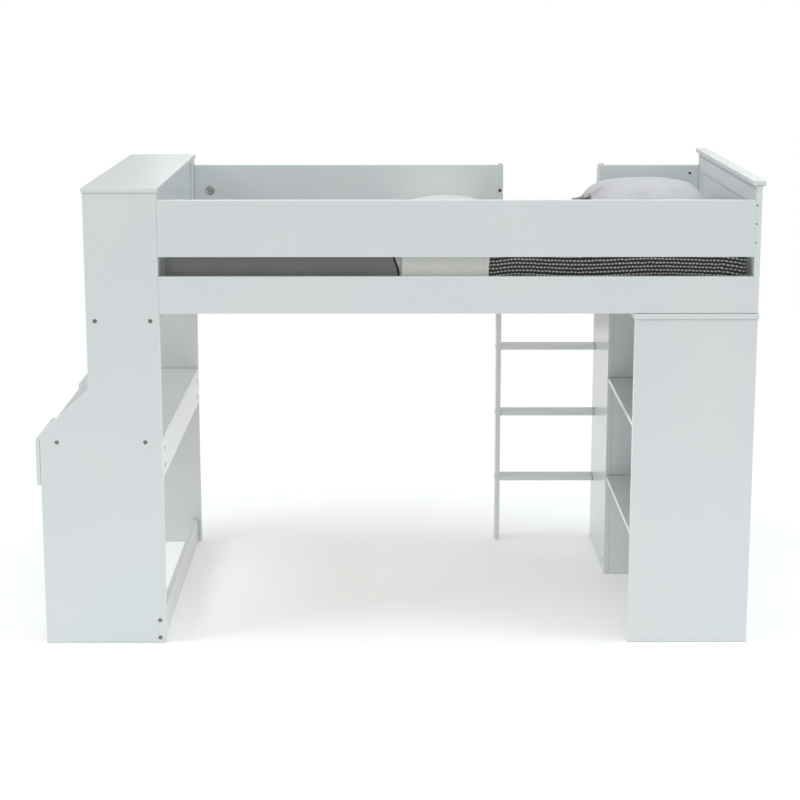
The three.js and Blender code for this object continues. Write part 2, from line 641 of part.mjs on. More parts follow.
deskEndPanel("desk_end_panel_near", nearRail);
deskEndPanel("desk_end_panel_far", farRail);
hutchCap();
hutchFloor();
footboardPanel();
deskTop();
deskApron();
floorStretcher();
for (const [side, across] of [["near", nearAcross], ["far", farAcross]]) {
  drawerPartition(side, across);
  drawerFront(side, across);
  drawerBox(side, across);
  drawerRunners(side, across);
  drawerKnob(side, across);
}
sideRails();
guardRails();
slatLedgers();
slatRoll();
headboard();
headboardCap();
cabinetTop();
cabinetWalls();
bookshelves();
cupboardShelves();
cupboardDoor();
cupboardHinges();
ladderStile("ladder_stile_left", [LEFT_STILE_END - LADDER_STILE_BOARD, LEFT_STILE_END]);
ladderStile("ladder_stile_right", [RIGHT_STILE, RIGHT_STILE + LADDER_STILE_BOARD]);
ladderRungs();
mattress();
foldedQuilt();
wovenThrow();
pillows();

// The origin is the middle of the footprint, on the floor.
const bounds = new THREE.Box3().setFromObject(loft);
const middle = bounds.getCenter(new THREE.Vector3());
loft.position.set(-middle.x, -middle.y, -bounds.min.z);

const model = new THREE.Group();
model.add(loft);
export default model;
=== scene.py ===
"""The looks of a twin loft bed with a desk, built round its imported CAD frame. Metres, +Z up."""

import json
import math

import bmesh
import bpy
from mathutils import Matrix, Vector, noise

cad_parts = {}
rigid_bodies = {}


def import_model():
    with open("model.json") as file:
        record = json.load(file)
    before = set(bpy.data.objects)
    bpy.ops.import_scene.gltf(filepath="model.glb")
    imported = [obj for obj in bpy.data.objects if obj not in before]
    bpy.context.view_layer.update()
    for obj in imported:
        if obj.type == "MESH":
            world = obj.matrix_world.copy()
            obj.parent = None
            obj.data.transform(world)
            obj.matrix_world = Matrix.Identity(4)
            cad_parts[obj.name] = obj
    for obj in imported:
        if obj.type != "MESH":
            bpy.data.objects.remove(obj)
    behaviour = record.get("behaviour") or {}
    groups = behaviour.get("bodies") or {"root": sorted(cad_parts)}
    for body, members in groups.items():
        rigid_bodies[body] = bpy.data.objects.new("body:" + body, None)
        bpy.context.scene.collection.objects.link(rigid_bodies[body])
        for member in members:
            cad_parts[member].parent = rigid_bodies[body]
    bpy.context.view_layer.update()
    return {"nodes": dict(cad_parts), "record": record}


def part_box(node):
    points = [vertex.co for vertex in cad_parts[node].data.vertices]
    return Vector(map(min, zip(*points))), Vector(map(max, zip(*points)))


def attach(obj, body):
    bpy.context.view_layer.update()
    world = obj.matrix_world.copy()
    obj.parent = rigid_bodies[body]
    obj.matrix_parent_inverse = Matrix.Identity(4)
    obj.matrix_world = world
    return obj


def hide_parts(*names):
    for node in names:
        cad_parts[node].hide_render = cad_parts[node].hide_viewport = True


for leftover in list(bpy.data.objects):
    bpy.data.objects.remove(leftover)

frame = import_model()

MM = 0.001
ROOT = "bed_frame"

# ---- Camera ----

CAMERA_PLACE = (0.010, -5.943, 2.238)
CAMERA_PITCH = 9.75  # degrees below the horizon
CAMERA_YAW = 0.17
CAMERA_LENS = 74.8
CAMERA_SHIFT = -0.17


def new_object(name, data):
    made = bpy.data.objects.new(name, data)
    bpy.context.collection.objects.link(made)
    return made


def make_camera():
    data = bpy.data.cameras.new("camera")
    data.lens = CAMERA_LENS
    data.shift_y = CAMERA_SHIFT
    data.clip_end = 60
    camera = new_object("camera", data)
    camera.location = CAMERA_PLACE
    camera.rotation_euler = (math.radians(90 - CAMERA_PITCH), 0, math.radians(-CAMERA_YAW))
    bpy.context.scene.camera = camera


make_camera()

# ---- Materials ----


class Finish:
    """A material whose nodes are made by short calls. A value that is a socket gets linked."""

    def __init__(self, name, **shader):
        self.material = bpy.data.materials.new(name)
        self.material.use_nodes = True
        self.tree = self.material.node_tree
        self.shader = self.tree.nodes["Principled BSDF"]
        self.put(self.shader, shader)

    def put(self, node, inputs):
        for key, value in inputs.items():
            socket = node.inputs[key.replace("_", " ") if isinstance(key, str) else key]
            if isinstance(value, bpy.types.NodeSocket):
                self.tree.links.new(value, socket)
            else:
                socket.default_value = value

    def add(self, kind, inputs=None, **settings):
        node = self.tree.nodes.new("ShaderNode" + kind)
        for key, value in settings.items():
            setattr(node, key, value)
        self.put(node, inputs or {})
        return node

    def coords(self, which="Object"):
        return self.add("TexCoord").outputs[which]

    def noise(self, scale, detail=2.0, rough=0.5, vector=None):
        inputs = {"Vector": vector or self.coords(), "Scale": scale, "Detail": detail, "Roughness": rough}
        return self.add("TexNoise", inputs).outputs["Fac"]

    def math(self, operation, a, b=0.0):
        return self.add("Math", {0: a, 1: b}, operation=operation).outputs[0]

    def times(self, a, b):
        return self.math("MULTIPLY", a, b)

    def plus(self, a, b):
        return self.math("ADD", a, b)

    def distance(self, a, b):
        return self.math("ABSOLUTE", self.math("SUBTRACT", a, b))

    def split(self, vector):
        return self.add("SeparateXYZ", {0: vector}).outputs

    def remap(self, value, low, high, to_low=0.0, to_high=1.0, smooth=False):
        kind = "SMOOTHSTEP" if smooth else "LINEAR"
        inputs = {"Value": value, "From_Min": low, "From_Max": high, "To_Min": to_low, "To_Max": to_high}
        return self.add("MapRange", inputs, interpolation_type=kind).outputs[0]

    def mix(self, factor, first, second, blend="MIX"):
        node = self.add("Mix", data_type="RGBA", blend_type=blend)
        self.put(node, {0: factor, 6: first, 7: second})
        return node.outputs[2]

    def bump(self, height, distance, strength=1.0, over=None):
        inputs = {"Height": height, "Distance": distance, "Strength": strength}
        if over is not None:
            inputs["Normal"] = over
        return self.add("Bump", inputs).outputs["Normal"]

    def finish(self, **shader):
        self.put(self.shader, shader)
        return self.material


# radius of the mask for the painted highlight on the lacquer's edges
EDGE_HIGHLIGHT_RADIUS = 2.2 * MM
JOINT_SHADE = 4 * MM  # how near another face must be for painted shade to darken the lacquer


def white_lacquer():
    """Sprayed semi-gloss lacquer on smooth board.

    It is faintly cloudy, with orange peel and small specks. Its edges are paler with a painted highlight,
    and its joints darker with painted shade."""
    f = Finish("white_lacquer", IOR=1.5, Coat_Weight=0.25, Coat_Roughness=0.10, Coat_IOR=1.45)
    board = f.add("ObjectInfo").outputs["Random"]
    base = f.mix(board, (0.672, 0.706, 0.714, 1), (0.696, 0.722, 0.728, 1))
    cloud = f.remap(f.noise(1.7, 2), 0.35, 0.65)
    base = f.mix(cloud, base, (0.700, 0.722, 0.724, 1))
    specks = f.remap(f.noise(260, 2), 0.68, 0.76, 0, 0.10)
    base = f.mix(specks, base, (0.50, 0.52, 0.52, 1))
    # Painted highlight: the lacquer's edges are made paler, broken up by noise.
    eased = f.add("Bevel", {"Radius": EDGE_HIGHLIGHT_RADIUS}, samples=4).outputs[0]
    flat = f.add("NewGeometry").outputs["True Normal"]
    agree = f.add("VectorMath", {0: eased, 1: flat}, operation="DOT_PRODUCT").outputs["Value"]
    edge = f.remap(agree, 0.995, 0.90, 0, 1, smooth=True)
    painted_edge_highlight = f.times(edge, f.remap(f.noise(9, 4), 0.35, 0.65, 0.45, 0.9))
    # Painted shade: the lacquer darkens where other faces are near, in its joints and corners.
    openness = f.add("AmbientOcclusion", {"Distance": JOINT_SHADE}, samples=4).outputs["AO"]
    clear = f.remap(openness, 0.45, 0.85, smooth=True)
    base = f.mix(f.times(painted_edge_highlight, clear), base, (0.86, 0.88, 0.88, 1))
    base = f.mix(clear, (0.20, 0.21, 0.21, 1), base)
    peel = f.bump(f.noise(480, 2), 0.00003, 0.25)
    rough = f.remap(f.noise(900, 2), 0.3, 0.7, 0.24, 0.32)
    return f.finish(Base_Color=base, Roughness=rough, Normal=peel)


def plywood():
    """Clear-sealed birch: long pale grain with darker pores."""
    f = Finish("birch_plywood", IOR=1.45)
    stretched = f.add("Mapping", {"Vector": f.coords(), "Scale": (3, 40, 40)}).outputs[0]
    grain = f.noise(2.0, 6, 0.6, vector=stretched)
    pores = f.noise(9.0, 8, 0.7, vector=stretched)
    base = f.mix(f.remap(grain, 0.3, 0.7), (0.62, 0.45, 0.27, 1), (0.74, 0.60, 0.40, 1))
    base = f.mix(f.remap(pores, 0.55, 0.75, 0, 0.5), base, (0.42, 0.28, 0.15, 1))
    return f.finish(
        Base_Color=base,
        Roughness=f.remap(pores, 0.3, 0.7, 0.42, 0.6),
        Normal=f.bump(pores, 0.0002, 0.3),
    )


def metal(name, low, high, roughness):
    """Plated metal with fine brushing and a few dull spots."""
    f = Finish(name, Metallic=1.0)
    stretched = f.add("Mapping", {"Vector": f.coords(), "Scale": (60, 60, 900)}).outputs[0]
    brush = f.noise(3.0, 3, vector=stretched)
    spots = f.remap(f.noise(180, 3), 0.55, 0.7, 0, 0.6)
    base = f.mix(spots, f.mix(brush, low, high), low)
    return f.finish(
        Base_Color=base,
        Roughness=f.plus(f.remap(brush, 0.3, 0.7, roughness - 0.06, roughness + 0.06), spots),
        Normal=f.bump(brush, 0.00005, 0.3),
    )


def plain_weave(f, pitch):
    """Height of a plain weave in the piece's flat coordinates, and a slower noise for its slubs."""
    flat = f.coords("UV")
    parts = f.split(flat)
    warp, weft = [f.math("SINE", f.times(parts[i], 2 * math.pi / pitch)) for i in (0, 1)]
    return f.times(warp, weft), f.noise(0.35 / pitch, 4, 0.6, vector=flat)


WRINKLE_TURN = 35  # degrees between the wrinkles and a pillow's side
COTTON_PITCH = 1.6 * MM
COTTON_FUZZ = 0.4 * MM


def cotton(name, low, high, sheen=0.35, folds=0.0):
    """Woven cotton: thread relief, slubs, soft blotches of colour and a little sheen.

    `folds` is the height of its long soft wrinkles."""
    f = Finish(name, Sheen_Weight=sheen, Sheen_Roughness=0.5, Specular_IOR_Level=0.25)
    weave, slubs = plain_weave(f, COTTON_PITCH)
    blotches = f.remap(f.noise(5.0, 4, vector=f.coords("UV")), 0.3, 0.7)
    base = f.mix(blotches, low, high)
    base = f.mix(f.remap(slubs, 0.35, 0.75, 0, 0.35), base, [0.8 * c for c in low[:3]] + [1])
    relief = f.bump(weave, COTTON_FUZZ, 0.35)
    relief = f.bump(slubs, COTTON_FUZZ, 0.5, over=relief)
    if folds:
        slant = {"Rotation": (0, 0, math.radians(WRINKLE_TURN)), "Scale": (3.5, 17, 1)}
        slanted = f.add("Mapping", {"Vector": f.coords("UV"), **slant}).outputs[0]
        wrinkles = f.distance(f.noise(1.6, 2, 0.45, vector=slanted), 0.5)
        relief = f.bump(f.remap(wrinkles, 0.0, 0.09, 0, 1, smooth=True), folds, 0.7, over=relief)
    return f.finish(Base_Color=base, Roughness=f.remap(slubs, 0.3, 0.7, 0.82, 0.96), Normal=relief)


ROW_PITCH = 12.6 * MM
DASH_PITCH = 12.2 * MM
THROW_SPAN = 0.85  # along the rows, between the two ends where they dip


def charcoal_weave():
    """A black rope weave with rows of off-white dashes, which dip at the throw's two ends."""
    f = Finish("charcoal_weave", Sheen_Weight=0.25, Sheen_Roughness=0.6, Specular_IOR_Level=0.2)
    flat = f.coords("UV")
    parts = f.split(flat)
    drift = f.remap(f.noise(2.6, 0, vector=flat), 0.3, 0.7, -0.5, 0.5)
    jitter = f.remap(f.noise(45, 1, vector=flat), 0.3, 0.7, -0.09, 0.09)
    dip = f.plus(f.remap(parts[0], 0.10, 0.0, 0, 0.6, smooth=True),
                 f.remap(parts[0], THROW_SPAN - 0.09, THROW_SPAN, 0, 0.9, smooth=True))
    across = f.plus(f.math("DIVIDE", parts[1], ROW_PITCH), f.plus(drift, jitter))
    across = f.math("SUBTRACT", across, dip)
    row = f.math("FLOOR", across)
    stagger = f.times(f.math("PINGPONG", row, 1.0), 0.35)
    along = f.plus(f.math("DIVIDE", parts[0], DASH_PITCH), f.plus(stagger, jitter))
    from_row = f.distance(f.math("FRACT", across), 0.5)
    from_dash = f.distance(f.math("FRACT", along), 0.5)
    oval = f.math("POWER", f.times(from_row, 2.0), 2.0)
    oval = f.plus(oval, f.math("POWER", f.times(from_dash, 1.25), 2.0))
    dash = f.remap(oval, 0.06, 0.30, 1, 0, smooth=True)
    between = f.remap(from_row, 0.10, 0.24, 0.20, 0, smooth=True)
    shown = f.math("MAXIMUM", dash, between)
    rope = f.remap(from_row, 0.0, 0.5, 1, 0, smooth=True)
    knots = f.times(rope, f.remap(from_dash, 0.0, 0.5, 1, 0.6, smooth=True))
    fleck = f.remap(f.noise(700, 3, vector=flat), 0.45, 0.75, 0, 1)
    ground = f.mix(fleck, (0.014, 0.014, 0.015, 1), (0.075, 0.075, 0.073, 1))
    light = f.mix(fleck, (0.56, 0.55, 0.52, 1), (0.34, 0.335, 0.32, 1))
    relief = f.bump(f.noise(900, 2, vector=flat), 0.0004, 0.4)
    relief = f.bump(knots, 0.0030, 0.8, over=relief)
    return f.finish(Base_Color=f.mix(shown, ground, light), Roughness=0.92, Normal=relief)


QUILT_PITCH = 1.5 * MM
QUILT_HEM_SEAM = 0.306  # round the quilt's section, from its foot side
SEAM_HALF_WIDTH = 1.6 * MM
STITCH = 4.5 * MM


def padded_cotton(name, low, high):
    """Soft off-white cotton over wadding: fine weave, puckers and one stitched hem."""
    f = Finish(name, Sheen_Weight=0.4, Sheen_Roughness=0.5, Specular_IOR_Level=0.2)
    weave, slubs = plain_weave(f, QUILT_PITCH)
    parts = f.split(f.coords("UV"))
    hem = f.distance(parts[0], QUILT_HEM_SEAM)
    seam = f.remap(hem, 0.0, SEAM_HALF_WIDTH, 1, 0, smooth=True)
    from_stitch = f.distance(f.math("FRACT", f.math("DIVIDE", parts[1], STITCH)), 0.5)
    thread = f.times(seam, f.remap(from_stitch, 0.1, 0.3, 1, 0, smooth=True))
    base = f.mix(f.remap(slubs, 0.3, 0.7), low, high)
    base = f.mix(f.times(thread, 0.35), base, [0.6 * c for c in low[:3]] + [1])
    pucker = f.noise(38, 3, vector=f.coords("UV"))
    relief = f.bump(weave, 0.0003, 0.3)
    relief = f.bump(pucker, 0.0012, 0.25, over=relief)
    relief = f.bump(f.math("SUBTRACT", 1.0, seam), 0.0012, 0.6, over=relief)
    return f.finish(Base_Color=base, Roughness=f.remap(slubs, 0.3, 0.7, 0.85, 0.96), Normal=relief)


LACQUER = white_lacquer()
PLYWOOD = plywood()
NICKEL = metal("satin_nickel", (0.42, 0.41, 0.39, 1), (0.62, 0.61, 0.58, 1), 0.32)
BRONZE = metal("antique_bronze", (0.070, 0.052, 0.036, 1), (0.20, 0.155, 0.11, 1), 0.36)
DARK_STEEL = metal("dark_steel", (0.10, 0.11, 0.12, 1), (0.22, 0.23, 0.25, 1), 0.4)
BRASS = metal("yellow_brass", (0.42, 0.30, 0.13, 1), (0.62, 0.47, 0.24, 1), 0.3)
GREY_SHEET = cotton("grey_sheet", (0.185, 0.182, 0.178, 1), (0.22, 0.217, 0.212, 1))
DARK_PIPING = cotton("dark_piping", (0.008, 0.008, 0.009, 1), (0.02, 0.02, 0.02, 1), sheen=0.1)
LAVENDER = cotton("lavender_cotton", (0.50, 0.485, 0.53, 1), (0.60, 0.585, 0.62, 1), folds=2.2 * MM)
PILLOW_BACK = cotton("pillow_back_cotton", (0.17, 0.16, 0.145, 1), (0.23, 0.218, 0.20, 1))
CREAM = cotton("cream_cotton", (0.70, 0.69, 0.62, 1), (0.78, 0.77, 0.71, 1), folds=1.8 * MM)
QUILT = padded_cotton("cream_quilt", (0.60, 0.60, 0.555, 1), (0.66, 0.66, 0.62, 1))
CHARCOAL = charcoal_weave()

# ---- CAD nodes ----

SLOT_FINISH = {"white_lacquer": LACQUER, "birch_plywood": PLYWOOD, "satin_nickel": NICKEL}
BOARD_EASING = 1.3 * MM
SLOTS = {row["node"]: row["material_slot"] for row in frame["record"]["subparts"]}


def dress_cad_nodes():
    """Every hard node gets its finish, and every board gets its eased edges."""
    for name, node in frame["nodes"].items():
        finish = SLOT_FINISH.get(SLOTS[name])
        if finish is None:
            continue
        for place in node.material_slots:
            place.material = finish
        if finish is not NICKEL:
            weld = node.modifiers.new("weld", "WELD")
            weld.merge_threshold = 0.00001
            ease = node.modifiers.new("eased_edges", "BEVEL")
            ease.width = BOARD_EASING
            ease.segments = 2
            ease.limit_method = "ANGLE"
            ease.angle_limit = math.radians(25)


dress_cad_nodes()

# ---- Making pieces ----


def box(node):
    low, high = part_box(node)
    return Vector(low), Vector(high)


def mesh_object(name, bm):
    mesh = bpy.data.meshes.new(name)
    bm.to_mesh(mesh)
    bm.free()
    return new_object(name, mesh), mesh


def new_piece(name, bm, material, body=ROOT, smooth=True):
    """A piece that rides on a body. `material` is one material or a list of them."""
    piece, mesh = mesh_object(name, bm)
    for one in material if isinstance(material, list) else [material]:
        mesh.materials.append(one)
    for face in mesh.polygons:
        face.use_smooth = smooth
    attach(piece, body)
    return piece


def bridge(bm, loops):
    """Faces between each closed loop of points and the next."""
    for a, b in zip(loops, loops[1:]):
        for i in range(len(a)):
            j = (i + 1) % len(a)
            bm.faces.new((a[i], a[j], b[j], b[i]))


def hexagon(angle):
    """Radius of a hexagon with a corner radius of 1, in that direction."""
    sixth = math.pi / 3
    return math.cos(sixth / 2) / math.cos((angle % sixth) - sixth / 2)


def turned(name, rings, place, axis, material, size=(MM, MM), body=ROOT, segments=36):
    """A small fitting turned about `axis` from rings of (radius, height, share of hexagon).

    `size` is the unit of its radii and of its heights."""
    bm = bmesh.new()
    loops = []
    for radius, height, hexed in rings:
        loop = []
        for i in range(segments):
            a = 2 * math.pi * i / segments
            r = radius * size[0] * (1 - hexed + hexed * hexagon(a))
            loop.append(bm.verts.new((r * math.cos(a), r * math.sin(a), height * size[1])))
        loops.append(loop)
    bridge(bm, loops)
    bm.faces.new(loops[0][::-1])
    bm.faces.new(loops[-1])
    turn = Vector((0, 0, 1)).rotation_difference(Vector(axis)).to_matrix().to_4x4()
    turn.translation = Vector(place)
    bmesh.ops.transform(bm, matrix=turn, verts=bm.verts)
    soften(new_piece(name, bm, material, body))


SHARP_EDGE = 35  # degrees


def soften(piece):
    """Smooth shading, except at edges that turn by SHARP_EDGE or more."""
    mesh = piece.data
    bm = bmesh.new()
    bm.from_mesh(mesh)
    for edge in bm.edges:
        edge.smooth = edge.calc_face_angle(0) < math.radians(SHARP_EDGE)
    bm.to_mesh(mesh)
    bm.free()


# ---- Fasteners ----

BOLT_RADIUS = 6.2 * MM
SMALL_BOLT_RADIUS = 5 * MM
BOLT_PROUD = 1.3 * MM
BOLT_SEAT = (1.22 * BOLT_RADIUS, 0.5 * MM)  # radius and height
SCREW_RADIUS = 2.6 * MM
SHELF_SCREW_RADIUS = 3.0 * MM
RUNG_SCREW_RADIUS = 3.2 * MM
HINGE_SCREW_RADIUS = 2.3 * MM

# Rings in shares of the fitting's own radius and height
BOLT_RINGS = ((1, 0, 0), (1, 0.45, 0), (0.93, 0.85, 0), (0.80, 1, 0),
              (0.46, 1, 1), (0.43, 0.93, 1), (0.42, 0.25, 1))
SEAT_RINGS = ((1, 0, 0), (1, 0.5, 0), (0.92, 1, 0), (0.75, 1, 0))
SCREW_RINGS = ((1, 0, 0), (0.96, 0.45, 0), (0.75, 0.9, 0), (0.42, 1, 1), (0.36, 0.45, 1))
# Rings in millimetres
COVER_DISC_RINGS = ((18, 0, 0), (18, 1.4, 0), (16.6, 2.6, 0), (13.0, 2.8, 0), (12.2, 2.2, 0),
                    (6.6, 2.2, 0), (6.0, 3.2, 0), (3.0, 3.4, 1), (2.7, 1.2, 1))
CAM_DISC_RINGS = ((7, 0, 0), (7, 0.7, 0), (6.2, 1.1, 0), (2.4, 1.1, 1), (2.2, 0.4, 1))


def bolt(name, place, axis, radius=BOLT_RADIUS):
    """A flat-head connector bolt: a domed rim, a flat face and a hexagon socket."""
    turned(name, BOLT_RINGS, place, axis, BRONZE, (radius, BOLT_PROUD))


def screw(name, place, axis, radius=SCREW_RADIUS, material=DARK_STEEL, body=ROOT):
    """A small pan-head screw with a shallow socket."""
    turned(name, SCREW_RINGS, place, axis, material, (radius, 0.5 * radius), body, segments=24)


def board_bolts(label, places):
    """Bolts in bright seats, at places (x, z), through both end panels into the ends of a board."""
    for side, out in (("near", -1), ("far", 1)):
        face = box(f"desk_end_panel_{side}")[0 if out < 0 else 1].y
        for i, (x, z) in enumerate(places):
            place, axis, ending = (x, face, z), (0, out, 0), f"{label}_{side}_{i + 1}"
            turned(f"bolt_seat_{ending}", SEAT_RINGS, place, axis, NICKEL, BOLT_SEAT)
            bolt(f"bolt_{ending}", place, axis)


def desk_bolts():
    """The hutch floor and the desk top have a bolt near each edge, the stretcher two in a column."""
    for label, node, first, last in (("hutch", "hutch_floor", 30, 29), ("desk", "desk_top", 58, 56)):
        low, high = box(node)
        level = (low.z + high.z) / 2
        board_bolts(label, [(low.x + first * MM, level), (high.x - last * MM, level)])
    low, high = box("floor_stretcher")
    middle = (low.x + high.x) / 2
    board_bolts("stretcher", [(middle, low.z + 14 * MM), (middle, high.z - 14 * MM)])


HEADBOARD_SCREW_DROPS = (17 * MM, 79 * MM, 141 * MM)  # below the near guard rail's top
HEADBOARD_SCREW_INSET = 3.5 * MM


def rail_fittings():
    """The cover disc and bolts on the far guard rails, and the screws into the headboard's stiles."""
    low, high = box("guard_rail_far_long")
    middle = (low.z + high.z) / 2
    inward = (0, -1, 0)
    place = (low.x + 61 * MM, low.y, middle - 3 * MM)
    turned("guard_rail_disc", COVER_DISC_RINGS, place, inward, NICKEL)
    bolt("guard_bolt_ladder_left", (high.x - 12.5 * MM, low.y, middle - 5 * MM), inward)
    short_low, short_high = box("guard_rail_far_short")
    place = (short_high.x - 36 * MM, short_low.y, short_high.z - 31 * MM)
    bolt("guard_bolt_head", place, inward, SMALL_BOLT_RADIUS)
    place = (short_low.x + 10 * MM, short_low.y, middle - 5 * MM)
    bolt("guard_bolt_ladder_right", place, inward, SMALL_BOLT_RADIUS)
    top = box("guard_rail_near")[1].z
    stile = box("headboard_stile_near")[0]
    far_y = box("headboard_stile_far")[1].y
    for side, y, out in (("near", stile.y, -1), ("far", far_y, 1)):
        for i, drop in enumerate(HEADBOARD_SCREW_DROPS):
            place = (stile.x + HEADBOARD_SCREW_INSET, y, top - drop)
            screw(f"headboard_screw_{side}_{i + 1}", place, (0, out, 0))


RUNG_SCREW_INSET = 17 * MM
LADDER_BOLT_RADIUS = 4.6 * MM


def ladder_fittings():
    """Two screws through each stile into each rung, two bolts into the far rail, two glides under it."""
    for label, out in (("left", -1), ("right", 1)):
        low, high = box(f"ladder_stile_{label}")
        face = low.x if out < 0 else high.x
        for rung in range(1, 5):
            a, b = box(f"ladder_rung_{rung}")
            for i, y in enumerate((a.y + RUNG_SCREW_INSET, b.y - RUNG_SCREW_INSET)):
                place = (face, y, (a.z + b.z) / 2)
                screw(f"rung_screw_{label}_{rung}_{i + 1}", place, (out, 0, 0), RUNG_SCREW_RADIUS)
        middle = (low.x + high.x) / 2
        rail_low, rail_high = box("side_rail_far")
        for i, z in enumerate((rail_low.z + 40 * MM, rail_high.z - 30 * MM)):
            bolt(f"ladder_bolt_{label}_{i + 1}", (middle, high.y, z), (0, 1, 0), LADDER_BOLT_RADIUS)
        radius = 0.42 * (high.x - low.x)
        glide = [(0.85, 0, 0), (1, 0.8 * MM, 0), (1, low.z, 0)]
        for i, y in enumerate((low.y + 14 * MM, high.y - 14 * MM)):
            name = f"ladder_glide_{label}_{i + 1}"
            turned(name, glide, (middle, y, 0), (0, 0, 1), DARK_PIPING, (radius, 1))


def shelf_screws(node, x, out, insets, ending):
    """Two screws into an edge of a shelf, inset from its near and far ends."""
    low, high = box(node)
    for i, y in enumerate((low.y + insets[0], high.y - insets[1])):
        place = (x, y, (low.z + high.z) / 2)
        screw(f"{node}_{ending}_{i + 1}", place, (out, 0, 0), SHELF_SCREW_RADIUS)


def cabinet_fittings():
    """Screws through the cupboard's side and the cabinet's back into the shelves."""
    cupboard = ("cupboard_floor", "cupboard_shelf")
    for node in cupboard:
        shelf_screws(node, box("cupboard_side")[0].x, -1, (16 * MM, 30 * MM), "screw")
    for node in ("bookshelf_lower", "bookshelf_upper", *cupboard):
        shelf_screws(node, box("cabinet_back")[1].x, 1, (60 * MM, 60 * MM), "back_screw")


HINGE_SCREW_INSET = 7 * MM
HINGE_LEAF_FACE = 1.8 * MM  # in front of the door's face


def hinge_screws():
    """Three screws in a column on each leaf of the cupboard's hinges."""
    face = box("cupboard_door")[1].y + HINGE_LEAF_FACE
    for label in ("lower", "upper"):
        for leaf, body in (("cabinet", ROOT), ("door", "cupboard_door")):
            low, high = box(f"hinge_{label}_{leaf}_leaf")
            x = high.x - HINGE_SCREW_INSET if leaf == "cabinet" else low.x + HINGE_SCREW_INSET
            for i in range(3):
                place = (x, face, low.z + (high.z - low.z) * (0.18 + 0.32 * i))
                name = f"hinge_screw_{label}_{leaf}_{i + 1}"
                screw(name, place, (0, 1, 0), HINGE_SCREW_RADIUS, NICKEL, body)


def desk_fittings():
    """Two brass cam discs near each end of the desk apron."""
    low, high = box("desk_apron")
    for i, y in enumerate((low.y + 45 * MM, high.y - 45 * MM)):
        for j, z in enumerate((high.z - 28 * MM, low.z + 30 * MM)):
            turned(f"cam_disc_{i + 1}_{j + 1}", CAM_DISC_RINGS, (high.x, y, z), (1, 0, 0), BRASS)


desk_bolts()
rail_fittings()
ladder_fittings()
cabinet_fittings()
hinge_screws()
desk_fittings()

# ---- Mouldings ----


def picture_frame(name, low, high, rings):
    """A mitred moulding round a rectangle in Y and Z. Each ring is (inset from the rectangle, X)."""
    bm = bmesh.new()
    loops = []
    for inset, x in rings:
        y0, y1 = low.y + inset, high.y - inset
        z0, z1 = low.z + inset, high.z - inset
        loops.append([bm.verts.new((x, y, z)) for y, z in ((y0, z0), (y1, z0), (y1, z1), (y0, z1))])
    bridge(bm, loops + loops[:1])
    bmesh.ops.recalc_face_normals(bm, faces=bm.faces)
    new_piece(name, bm, LACQUER, smooth=False)


MOULDING = 9 * MM
MOULDING_SIT = 0.2 * MM  # off the boards it lies on


def headboard_mouldings():
    """A sloping bead round the sunk panel, on both faces of the headboard."""
    low, high = box("headboard_panel")
    stile_low, stile_high = box("headboard_stile_near")
    for side, face, ground in (("inner", stile_low.x, low.x), ("outer", stile_high.x, high.x)):
        out = 1 if side == "outer" else -1
        top = face - out * 1.0 * MM
        foot = ground + out * MOULDING_SIT
        rings = [
            (MOULDING_SIT, foot),
            (MOULDING_SIT, top),
            (2.2 * MM, top),
            (0.45 * MOULDING, foot + 0.55 * (top - foot)),
            (MOULDING, foot + 0.18 * (top - foot)),
            (MOULDING, foot),
        ]
        picture_frame(f"headboard_bead_{side}", low, high, rings)


def strip(name, profile, start, end):
    """A moulding along Y: a closed profile of (x, z) points between two values of Y."""
    bm = bmesh.new()
    ends = [[bm.verts.new((x, y, z)) for x, z in profile] for y in (start, end)]
    bridge(bm, ends)
    bm.faces.new(ends[0][::-1])
    bm.faces.new(ends[1])
    bmesh.ops.recalc_face_normals(bm, faces=bm.faces)
    soften(new_piece(name, bm, LACQUER))


COVE_REACH = 7 * MM
COVE_DROP = 11 * MM
COVE_LIP = 1.5 * MM


def cap_mouldings():
    """A cove under the headboard's cap, on both faces."""
    low = box("headboard_cap")[0]
    stile_low, stile_high = box("headboard_stile_near")
    far = box("headboard_stile_far")[1].y
    for side, face, out in (("inner", stile_low.x, -1), ("outer", stile_high.x, 1)):
        x0 = face + out * MOULDING_SIT
        z0 = low.z - MOULDING_SIT
        cove = [(x0, z0), (x0 + out * COVE_REACH, z0)]
        for k in range(1, 7):
            a = k / 6 * math.pi / 2
            x = x0 + out * COVE_REACH * (1 - math.sin(a))
            cove.append((x, z0 - COVE_DROP * (1 - math.cos(a)) - COVE_LIP))
        cove.append((x0, z0 - COVE_DROP - 2 * COVE_LIP))
        strip(f"cap_cove_{side}", cove, stile_low.y + MM, far - MM)


headboard_mouldings()
cap_mouldings()

# ---- Bedding ----

MATTRESS_LOW, MATTRESS_HIGH = box("mattress")
MATTRESS_RADIUS = 34 * MM
MATTRESS_STEP = 0.022
BEND_Y = MATTRESS_LOW.y + MATTRESS_RADIUS  # where the top starts to bend down to the near side
BEND_Z = MATTRESS_HIGH.z - MATTRESS_RADIUS  # where the bend has become that side


def smoothstep(low, high, value):
    t = min(1, max(0, (value - low) / (high - low)))
    return t * t * (3 - 2 * t)


def wobble(x, y, z):
    """Smooth noise between -1 and 1 at that place."""
    return noise.noise(Vector((x, y, z)))


def round_off(piece):
    piece.modifiers.new("rounder", "SUBSURF").render_levels = 1


